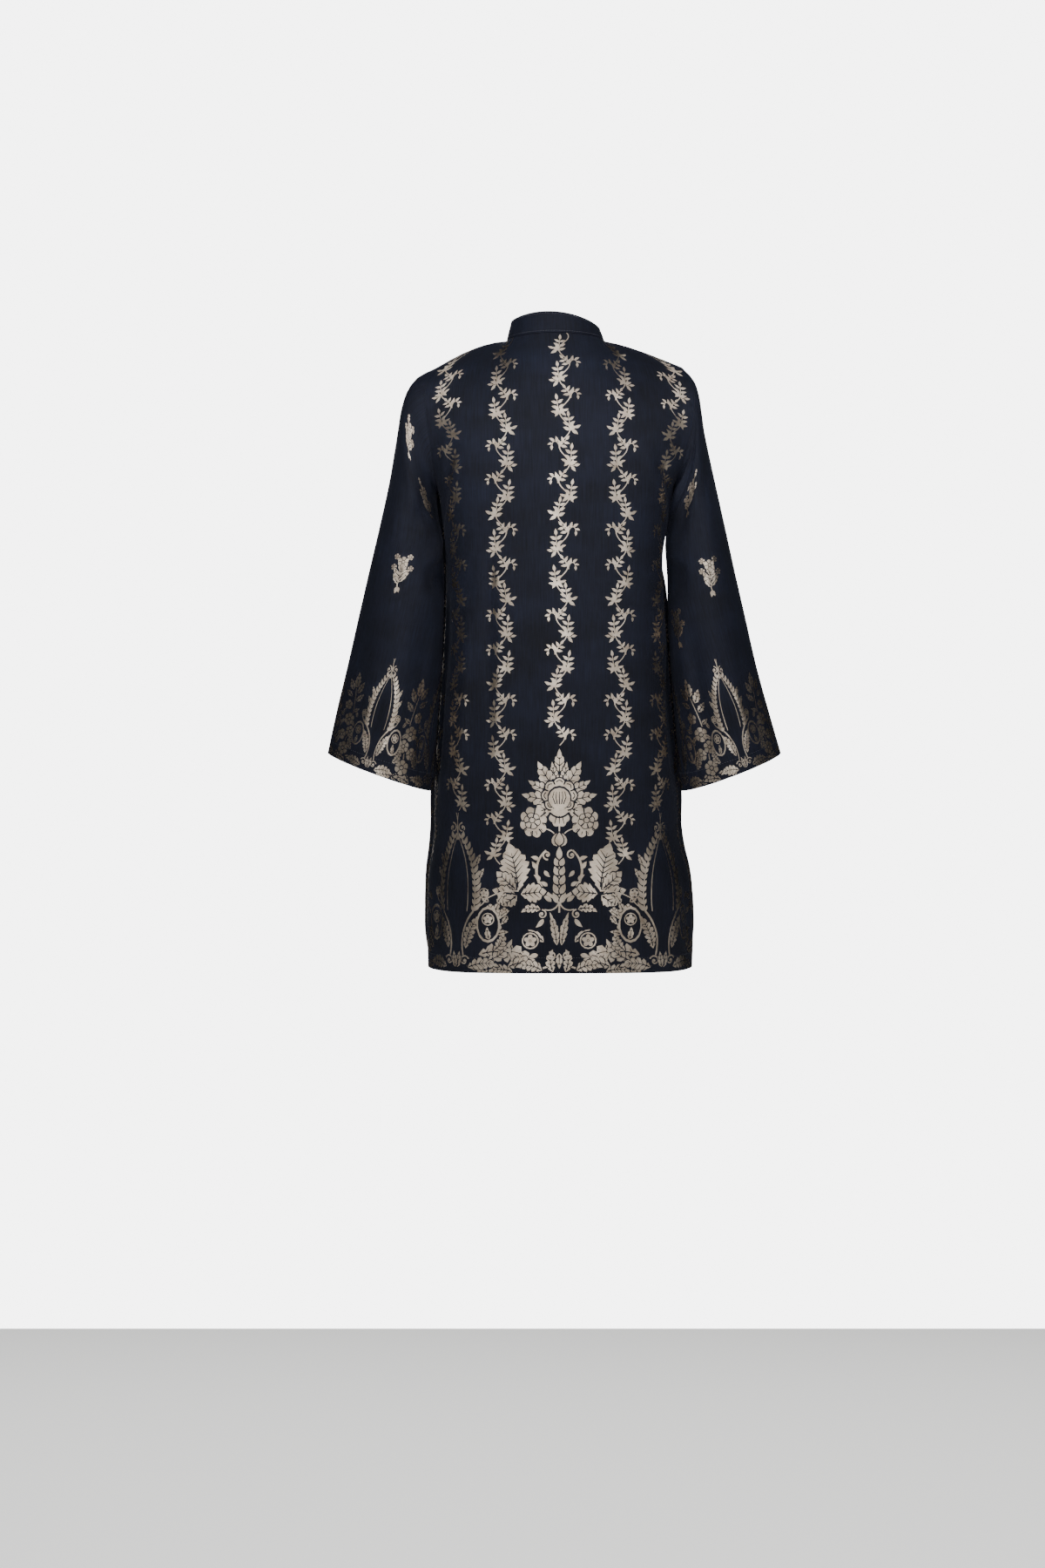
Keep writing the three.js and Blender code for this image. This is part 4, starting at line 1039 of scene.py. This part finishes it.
def panel_figures(cloth, below_neck=0):
    """The deep border, and a vine above each part of it. The middle vine ends so far below the neck."""
    top = cloth.flat_y[-1] + PAST_TOP
    shapes = hem_border(HALF_PANEL + PAST_SIDE)
    for low_x, high_x, low_y, faces in zip(*VINES.values()):
        vine_top = top - below_neck if low_x == 0 else top
        shapes += leaning(vine(low_y, vine_top, faces < 0), low_y, top, low_x, high_x)
    return shapes


back_cloth = Cloth(back_grid, back_walls, BACK_CREASES, ("top", "sides"), ACROSS // 2)
back = cloth_piece("back_panel_cloth", back_cloth, panel_figures(back_cloth), [black_cloth, gold_yarn])
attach(back, "root")
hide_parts("back_panel")


# Front panel
# The same cloth and cut as the back, with a deeper neck. A
# slit runs down its middle from the neck, under the placket.

NECK_SLIT = {"length": 225, "width": 1.2, "past_top": 5, "points": 40, "to_vine": 265}
FRONT_CREASES = table("x y to_x to_y width depth", [
    (100, 560, 106, 250, 7, -2.2),
    (-110, 545, -114, 300, 8, 1.6),
    (186, 575, 211, -10, 20, 9.5),
    (-187, 540, -217, -10, 20, 8.5),
    (182, 660, 187, 535, 16, 12.0),
    (-180, 660, -184, 525, 15, 4.6),
    (-150, 600, -186, 520, 8, -2.2),
    (150, 620, 188, 545, 8, -2.2),
    (64, 690, 118, 640, 10, -1.5),
    (-64, 695, -118, 650, 10, -1.4),
    (-170, 420, -166, 210, 9, -2.0),
    (176, 410, 170, 190, 9, 2.0),
    (-88, 220, -100, 0, 11, 1.8),
    (116, 210, 128, 0, 11, -1.8),
    (46, 170, 54, 0, 12, 1.4),
])
front_cloth = Cloth(front_grid, front_walls, FRONT_CREASES, ("top", "sides"), ACROSS // 2)
front_top = front_cloth.flat_y[-1]
slit_x, slit_y = NECK_SLIT["width"] / 2, front_top - NECK_SLIT["length"]
slit_end = (slit_x, front_top + NECK_SLIT["past_top"])
slit_side = np.linspace((slit_x, slit_y), slit_end, NECK_SLIT["points"])
slit = np.concatenate([slit_side, slit_side[::-1] * (-1, 1)])
front_figures = panel_figures(front_cloth, NECK_SLIT["to_vine"]) + [(slit, CUT)]
front = cloth_piece("front_panel_cloth", front_cloth, front_figures, [black_cloth, gold_yarn])
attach(front, "root")
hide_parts("front_panel")

# Placket
# A plain strip that binds the neck slit, laid over the front's own surface and stitched down near its edges.

PLACKET = {"width": 30, "length": 245, "stands_off": 1.3, "thickness": 1.0, "bar_rise": 14}
PLACKET_COLUMNS, PLACKET_ROWS = 9, 70


def grid_triangles(rows, columns):
    """Triangles of a grid of places that is stored row by row."""
    first = (np.arange(rows - 1)[:, None] * columns + np.arange(columns - 1)).ravel()
    lower = np.stack([first, first + 1, first + columns + 1], -1)
    return np.concatenate([lower, np.stack([first, first + columns + 1, first + columns], -1)])


front_centre_z = front_grid[:, ACROSS // 2, 2]
placket_foot = np.interp(NECK_FRONT["z"] - PLACKET["length"], front_centre_z, front_cloth.flat_y)
placket_x = np.linspace(-PLACKET["width"] / 2, PLACKET["width"] / 2, PLACKET_COLUMNS)
placket_y = np.linspace(placket_foot, front_top, PLACKET_ROWS)
placket_flat = np.stack(np.meshgrid(placket_x, placket_y), -1).reshape(-1, 2)
placket_triangles = grid_triangles(len(placket_y), len(placket_x))
placket_points, placket_walls = front_cloth.lay(placket_flat)
placket_laid = (placket_points + placket_walls * PLACKET["stands_off"], placket_walls)
placket = shell(
    "placket_cloth", placket_flat, placket_triangles, np.zeros(len(placket_triangles), int), placket_laid,
    front_cloth.normals(placket_flat), PLACKET["thickness"], [black_cloth])
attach(placket, "root")
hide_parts("front_placket")

# Collar band
# A stand-up band of the plain ground, two layers with a stiffening between them, sewn round the neck from
# one side of the slit to the other. It leans in a little and sits slightly higher on the wearer's left.

COLLAR_HEIGHT = {"back": 27, "side": 19, "front": 29}
COLLAR_LEAN, COLLAR_TILT, COLLAR_ROWS = 6, 4.5, 4
COLLAR_END_GAP, COLLAR_CORNER_CUT = 1.2, 4
COLLAR_THICKNESS, COLLAR_CELL = 2.0, 3.0
COLLAR_CREASES = table("x y to_x to_y width depth", [(-60, 2, -52, 26, 5, -0.5), (74, 4, 70, 24, 6, 0.5)])


def collar_form():
    """The band's points from the neck seam up: each seam
    point rises by its height and leans towards the neck."""
    round_neck = np.linspace(180, -180, ACROSS + 1)
    behind = np.abs(round_neck) <= 90
    turn = np.where(behind, round_neck, np.sign(round_neck) * (180 - np.abs(round_neck)))
    seam = np.where(behind[:, None], neck_points(turn, 1), neck_points(turn, -1))
    seam[:, 1] += np.where(np.abs(round_neck) == 90, 0, np.where(behind, 1, -1) * SEAM_GAP / 2)
    walls = np.where(behind[:, None], neck_direction(turn, 1), neck_direction(turn, -1))
    share = COLLAR_END_GAP / 2 / abs(seam[0, 0] - seam[1, 0])
    seam[0], seam[-1] = mix(seam[0], seam[1], share), mix(seam[-1], seam[-2], share)
    angle = np.radians(round_neck)
    middle = np.where(behind, COLLAR_HEIGHT["back"], COLLAR_HEIGHT["front"])
    height = mix(COLLAR_HEIGHT["side"], middle, np.cos(angle) ** 2) + COLLAR_TILT * np.sin(angle)
    height[[0, -1]] -= COLLAR_CORNER_CUT
    away = unit(np.cross(np.gradient(seam, axis=0), walls))
    away *= np.sign(away[:, 2:])
    lean = -COLLAR_LEAN * points_of(np.sin(angle), np.cos(angle), 0)
    lean[:, 2] = height
    up = np.linspace(0, 1, COLLAR_ROWS)[:, None, None]
    grid = seam + away * SEAM_GAP + lean * up
    directions = grid_normals(grid)
    directions[0] = walls
    return grid, directions


collar_grid, collar_walls = collar_form()
collar_cloth = Cloth(collar_grid, collar_walls, COLLAR_CREASES, ("bottom",), ACROSS // 2)
collar = cloth_piece("collar_cloth", collar_cloth, [], [black_cloth], COLLAR_THICKNESS, COLLAR_CELL)
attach(collar, "root")
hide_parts("collar_band")

# Sleeves
# Each is one piece of the figured cloth, sewn into a tube under the arm and set into the armhole over a
# rounded cap. It flares to a wide cuff with its own deep border, and small nosegays are scattered above that.

SLEEVE_RINGS = table("out_z out_left out_right in_z in_left in_right middle deep", [
    (-195, 224, 208, -238, 156, 143, 2, 64),
    (-245, 235, 219, -268, 151.5, 140.5, 9, 62),
    (-305, 249, 232, -310, 149.5, 143, 16, 61),
    (-362, 262, 245, -367, 150, 143.5, 22, 61),
    (-424, 276, 259, -436, 153, 147.5, 28, 64),
    (-482, 290, 275, -512, 159, 154, 32, 68),
    (-537, 302, 291, -587, 163.5, 160, 35, 73),
])
CAP_REACH = {"left": 56, "right": 14, "underarm": 6}
CAP_DROP = {"shoulder": 58, "underarm": 14}
CAP_CELLS, ARM_CELLS, CAP_SHARE = 7, 12, 0.3
BELOW_CAP, FOLDS_FROM_CAP = 0.04, 0.14
SLEEVE_CLOTH = {"per_degree": 1.05, "length": 500}

# Turn is the angle round the sleeve, 0 on its outer edge
# and 90 at the back. Along runs from the cap to the cuff.
SLEEVE_FOLD_COLUMNS = "turn along to_turn to_along width depth"
SLEEVE_FOLDS = {
    "left": table(SLEEVE_FOLD_COLUMNS, [
        (140, 0.2, 75, 0.46, 15, -5),
        (165, 0.3, 115, 0.66, 16, 4.5),
        (172, 0.54, 120, 0.52, 13, -8),
        (100, 0.56, 92, 1.02, 20, 4.5),
        (135, 0.66, 140, 1.02, 18, -5),
        (45, 0.6, 48, 1.02, 18, -3.5),
        (215, 0.22, 285, 0.5, 16, -5),
        (250, 0.55, 256, 1.02, 20, 4.5),
        (300, 0.6, 304, 1.02, 20, -4.5),
    ]),
    "right": table(SLEEVE_FOLD_COLUMNS, [
        (120, 0.1, 160, 0.3, 13, 6),
        (96, 0.16, 140, 0.42, 14, -5),
        (170, 0.56, 122, 0.54, 13, -8),
        (62, 0.22, 80, 0.6, 20, 3.5),
        (118, 0.64, 122, 1.02, 17, -5),
        (88, 0.6, 84, 1.02, 20, 4.5),
        (215, 0.2, 280, 0.46, 16, -5),
        (262, 0.56, 258, 1.02, 20, 4.5),
        (310, 0.6, 306, 1.02, 20, -4.5),
    ]),
}


def sleeve_points(side, down, turn):
    """A ring of the sleeve: a cosine between its inner and
    outer edge and a sine in depth, from the table's row."""
    name = "left" if side > 0 else "right"
    rows = np.linspace(0, 1, len(SLEEVE_RINGS["deep"]))
    read = {column: along_table(rows, SLEEVE_RINGS[column], down) for column in SLEEVE_RINGS}
    outer = points_of(side * read[f"out_{name}"], 0, read["out_z"])
    inner = points_of(side * read[f"in_{name}"], 0, read["in_z"])
    point = mix(inner, outer, (1 + np.cos(np.radians(turn)))[..., None] / 2)
    point[..., 1] = read["middle"] + read["deep"] * np.sin(np.radians(turn))
    return point


def sleeve_form(side):
    """A sleeve's points and wall directions from the cuff up, and the column
    of its back middle. Its columns start and end at the seam under the arm."""
    name = "left" if side > 0 else "right"
    step = np.arange(2 * YOKE)
    behind = step <= YOKE
    row = SKIRT + YOKE - np.where(behind, step, 2 * YOKE - step)
    back_edge, front_edge = (0, -1) if side > 0 else (-1, 0)
    ring = np.where(behind[:, None], back_grid[row, back_edge], front_grid[row, front_edge])
    ring_walls = np.where(behind[:, None], back_walls[row, back_edge], front_walls[row, front_edge])
    ring[step % YOKE == 0, 1] = 0
    away = unit(np.cross(np.roll(ring, -1, 0) - np.roll(ring, 1, 0), ring_walls))
    away *= np.sign(away[:, :1] * side)
    turn = step * 180.0 / YOKE
    upper = (1 + np.cos(np.radians(turn)))[:, None] / 2
    start = ring + away * SEAM_GAP
    end = sleeve_points(side, 0.0, turn)
    downward = unit(sleeve_points(side, BELOW_CAP, turn) - end)
    leaving = start + away * mix(CAP_REACH["underarm"], CAP_REACH[name], upper)
    arriving = end - downward * mix(CAP_DROP["underarm"], CAP_DROP["shoulder"], upper)
    t = np.linspace(0, 1, CAP_CELLS + 1)[:, None, None]
    cap = start * (1 - t) ** 3 + leaving * 3 * t * (1 - t) ** 2
    cap = cap + arriving * 3 * t * t * (1 - t) + end * t ** 3
    down = np.linspace(0, 1, ARM_CELLS + 1)[1:, None]
    grid = np.concatenate([cap, sleeve_points(side, down, turn[None, :])])
    along = np.concatenate([CAP_SHARE * t[:, 0, 0], mix(CAP_SHARE, 1, down[:, 0])])
    size = np.array([SLEEVE_CLOTH["per_degree"], SLEEVE_CLOTH["length"]])
    places = np.stack(np.broadcast_arrays(turn[None, :], along[:, None]), -1) * size
    folds = dict(SLEEVE_FOLDS[name])
    for column, scale in zip(SLEEVE_FOLD_COLUMNS.split()[:4], (*size, *size)):
        folds[column] = folds[column] * scale
    outward = -side
    lift = ease(along, 0, FOLDS_FROM_CAP)[:, None] * fold_lift(places, folds)
    grid += (outward * grid_normals(grid, True)) * lift[..., None]
    walls = outward * grid_normals(grid, True)
    walls[0] = ring_walls
    order = np.arange(YOKE, -YOKE - 1, -1) * -side % (2 * YOKE)
    return grid[::-1, order], walls[::-1, order], YOKE + side * YOKE // 2


CUFF_REPEAT, CUFF_ARCH_ASIDE = 96, 16


def cuff_border(first):
    """The cuff's border round the sleeve, from one arch on: narrow pointed
    arches with a flower stem between each two, over a row of acanthus leaves."""
    shapes = []
    for k in range(-5, 6):
        axis = first + k * CUFF_REPEAT
        for foot, turn in ((14, -66), (34, -50), (60, 62), (82, 50)):
            shapes += placed(acanthus(25, 10, 50 if turn < 0 else -50, 4), axis + foot, 2, turn)
        shapes += placed(flower_stem(), axis + CUFF_REPEAT / 2, 4, 0, 0.92, k % 2 == 1)
        shapes += mirrored(stretched(side_arch(), 0.5, 0.64), axis)
    return shapes


# Where the nosegays stand beside the sleeve's back middle, and how far round
# it each comes again. One that stands high, near the cap, is woven less tall.
NOSEGAYS = {"left": [(-33, 242), (9, 358), (-21, 410)], "right": [(34, 238), (13, 350), (-29, 174)]}
NOSEGAY_REPEAT, HIGH_FROM, HIGH_STRETCH = 230, 400, 0.7
SLEEVE_CREASES = {
    "left": table("x y to_x to_y width depth", [
        (180, 300, 110, 262, 8, -2.4), (185, 330, 120, 300, 9, 2.0), (176, 262, 120, 246, 7, -2.0),
        (170, 430, 96, 370, 8, -2.2), (60, 420, 80, 300, 12, -1.4), (150, 200, 158, 0, 10, 2.2),
        (92, 190, 97, 0, 13, -3.2), (-60, 300, -110, 262, 9, -2.2), (-90, 200, -96, 0, 12, 2.0),
    ]),
    "right": table("x y to_x to_y width depth", [
        (-180, 300, -110, 262, 8, -2.4), (-185, 335, -122, 308, 9, 2.0), (-100, 470, -140, 350, 8, -2.4),
        (-120, 480, -156, 370, 7, 1.8), (-60, 400, -80, 280, 12, -1.4), (-140, 200, -150, 0, 10, 2.2),
        (-90, 190, -95, 0, 13, -3.0), (60, 300, 110, 262, 9, -2.2), (90, 200, 96, 0, 12, 2.0),
    ]),
}
sleeve_cloths, sleeves = {}, {}
for name, side in (("left", 1), ("right", -1)):
    sleeve_grid, sleeve_walls, back_column = sleeve_form(side)
    cloth = Cloth(sleeve_grid, sleeve_walls, SLEEVE_CREASES[name], ("top",), back_column, closed=True)
    back_middle = cloth.flat_x[0, back_column]
    shapes = cuff_border(back_middle - side * CUFF_ARCH_ASIDE)
    for x, y in NOSEGAYS[name]:
        nosegay = stretched(sprig(), 1, HIGH_STRETCH if y > HIGH_FROM else 1)
        for repeat in (-NOSEGAY_REPEAT, 0, NOSEGAY_REPEAT):
            shapes += placed(nosegay, back_middle + x + repeat, y)
    sleeve = cloth_piece(f"sleeve_{name}_cloth", cloth, shapes, [black_cloth, gold_yarn])
    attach(sleeve, "root")
    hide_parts(f"sleeve_{name}")
    sleeve_cloths[name], sleeves[name] = cloth, sleeve

# Stitching
# Black polyester thread in a straight lockstitch: round the hems, the
# slits and the cuffs, and near the edges of the collar and the placket.

STITCH = {"pitch": 3.4, "length": 2.6, "radius": 0.3}


def thread_material():
    """Twisted polyester thread, a little lighter and glossier than the cloth."""
    material, tree = new_material("black_polyester_thread")
    surface(tree, {"Base Color": linear("2a2d38"), "Roughness": 0.5, "Sheen Weight": 0.2})
    return material


thread = thread_material()


def stitch_row(cloth, path, raised=0.0):
    """Spindle-shaped stitches along a flat path: six points each, from one needle hole to the next."""
    path = np.array(path, float)
    summed = np.concatenate([[0], np.cumsum(np.linalg.norm(np.diff(path, axis=0), axis=1))])
    centres = np.arange(STITCH["pitch"] / 2, summed[-1], STITCH["pitch"])
    starts, ends = (
        np.stack([np.interp(centres + half, summed, path[:, axis]) for axis in (0, 1)], -1)
        for half in (-STITCH["length"] / 2, STITCH["length"] / 2)
    )
    (start, up), (end, _) = cloth.lay(starts), cloth.lay(ends)
    start, end = start + up * raised, end + up * raised
    aside = unit(np.cross(end - start, up)) * STITCH["radius"]
    middle, rise = (start + end) / 2, up * STITCH["radius"]
    spindle = [start, middle + aside, middle + rise, middle - aside, middle - rise, end]
    points = np.stack(spindle, 1).reshape(-1, 3)
    one = np.array([(0, 2, 1), (0, 3, 2), (0, 4, 3), (0, 1, 4), (5, 1, 2), (5, 2, 3), (5, 3, 4), (5, 4, 1)])
    return points, (one[None] + 6 * np.arange(len(centres))[:, None, None]).reshape(-1, 3)


def stitching(name, rows):
    """One object from several rows of stitches."""
    starts = np.cumsum([0] + [len(points) for points, _ in rows])
    points = np.concatenate([points for points, _ in rows])
    faces = np.concatenate([faces + start for (_, faces), start in zip(rows, starts)])
    piece = new_mesh_object(name, points, faces, [thread])
    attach(piece, "root")
    return piece


HEM_DEPTH, SLIT_HEM, EDGE_STITCH = 20, 9, 2.5
PANEL_INSET, CUFF_INSET, COLLAR_INSET = 3, 1, 3
SLIT_ROW_POINTS, SLIT_ROW_FOOT = 30, 2


def across_path(cloth, y, inset):
    """A straight flat path at a height, from an inset inside one edge to the same inset inside the other."""
    return [(cloth.side(y, 0) + inset, y), (cloth.side(y, -1) - inset, y)]


def panel_rows(cloth):
    """The hem from one slit to the other, and up each slit beside its edge."""
    slit_top = np.interp(SLIT_TOP_Z, cloth.grid[:, 0, 2], cloth.flat_y)
    heights = np.linspace(SLIT_ROW_FOOT, slit_top, SLIT_ROW_POINTS)
    rows = [across_path(cloth, HEM_DEPTH, PANEL_INSET)]
    for column, inwards in ((0, 1), (-1, -1)):
        rows.append([(cloth.side(y, column) + inwards * SLIT_HEM, y) for y in heights])
    return [stitch_row(cloth, row) for row in rows]


back_stitching = stitching("back_stitching", panel_rows(back_cloth))
front_stitching = stitching("front_stitching", panel_rows(front_cloth))
cuff_stitching = {
    name: stitching(f"cuff_{name}_stitching", [stitch_row(cloth, across_path(cloth, HEM_DEPTH, CUFF_INSET))])
    for name, cloth in sleeve_cloths.items()
}
placket_side = PLACKET["width"] / 2 - EDGE_STITCH
placket_path = [
    (-placket_side, front_top - 1), (-placket_side, placket_foot + EDGE_STITCH),
    (placket_side, placket_foot + EDGE_STITCH), (placket_side, front_top - 1),
]
bar_y = placket_foot + PLACKET["bar_rise"]
placket_bar = [(-placket_side, bar_y), (placket_side, bar_y)]
placket_stitching = stitching("placket_stitching", [
    stitch_row(front_cloth, path, PLACKET["stands_off"]) for path in (placket_path, placket_bar)])
collar_top = collar_cloth.flat_y[-1]
collar_stitching = stitching("collar_stitching", [
    stitch_row(collar_cloth, across_path(collar_cloth, y, COLLAR_INSET))
    for y in (EDGE_STITCH, collar_top - EDGE_STITCH)])

# Floor, light and view
# A plain pale floor under the shirt, and soft studio lamps behind it, above it, in front
# of it, beside it and over the floor. The lamps and the camera are placed in metres.

FLOOR = {"z": -1499, "far": -515, "near": 2600, "side": 2400}


def studio_floor():
    """A flat pale rectangle that ends a little beyond the shirt."""
    side, far, near, z = FLOOR["side"], FLOOR["far"], FLOOR["near"], FLOOR["z"]
    corners = np.array([(-side, far, z), (side, far, z), (side, near, z), (-side, near, z)], float)
    material, tree = new_material("pale_floor_paint")
    surface(tree, {"Base Color": linear("e9e9e7"), "Roughness": 0.8})
    return new_mesh_object("studio_floor", corners, np.array([(0, 1, 2), (0, 2, 3)]), [material])


def soft_light(name, place, aim, size, watts, spread=180):
    """A rectangular lamp that faces a point, its beam no wider than the spread in degrees."""
    lamp = bpy.data.lights.new(name, "AREA")
    lamp.shape, lamp.size, lamp.size_y = "RECTANGLE", *size
    lamp.energy, lamp.spread = watts, np.radians(spread)
    holder = bpy.data.objects.new(name, lamp)
    holder.location = place
    holder.rotation_euler = (Vector(aim) - Vector(place)).to_track_quat("-Z", "Y").to_euler()
    holder.visible_camera = False
    bpy.context.scene.collection.objects.link(holder)


studio_floor()
CHEST, YOKE_MIDDLE, HEM_MIDDLE = (0, 0, -0.4), (0, 0.1, -0.02), (0, 0.1, -0.7)
soft_light("key", (0.1, 3.1, 0.2), HEM_MIDDLE, (0.6, 0.6), 27)
for x, y in ((0.0, 2.4), (1.25, 1.95), (-1.25, 1.95)):
    soft_light("upper_light", (x, y, 0.9), YOKE_MIDDLE, (0.8, 0.4), 1.5, 36)
soft_light("front", (0.3, -3.0, 0.4), CHEST, (1.4, 1.4), 40)
soft_light("left_side", (3.0, -0.2, 0.2), CHEST, (1.2, 1.2), 1)
soft_light("right_side", (-3.0, -0.2, 0.2), CHEST, (1.2, 1.2), 1)
soft_light("floor_wash", (0, 0.9, -0.95), (0, 0.9, -1.5), (4.0, 3.0), 60)

SEEN_STRENGTH, LIGHT_STRENGTH = 6.0, 0.04
world = bpy.data.worlds.new("studio")
world.use_nodes = True
world.node_tree.nodes.clear()
seen = node(world.node_tree, "ShaderNodeLightPath").outputs["Is Camera Ray"]
pale = node(world.node_tree, "ShaderNodeBackground", {"Color": linear("fbfbfb"), "Strength": SEEN_STRENGTH})
dim = node(world.node_tree, "ShaderNodeBackground", {"Color": linear("8f9196"), "Strength": LIGHT_STRENGTH})
both = node(world.node_tree, "ShaderNodeMixShader", {0: seen, 1: dim.outputs[0], 2: pale.outputs[0]})
node(world.node_tree, "ShaderNodeOutputWorld", {"Surface": both.outputs[0]})
bpy.context.scene.world = world

CAMERA_PLACE = (0.047, 2.770, -0.369)
CAMERA_PITCH = 4.384
SENSOR_HEIGHT = 36
FOCAL_LENGTH = 48
camera = bpy.data.cameras.new("camera")
camera.sensor_fit, camera.sensor_height, camera.lens = "VERTICAL", SENSOR_HEIGHT, FOCAL_LENGTH
holder = bpy.data.objects.new("camera", camera)
holder.location = CAMERA_PLACE
holder.rotation_euler = (np.radians(90 - CAMERA_PITCH), 0, np.pi)
bpy.context.scene.collection.objects.link(holder)
bpy.context.scene.camera = holder
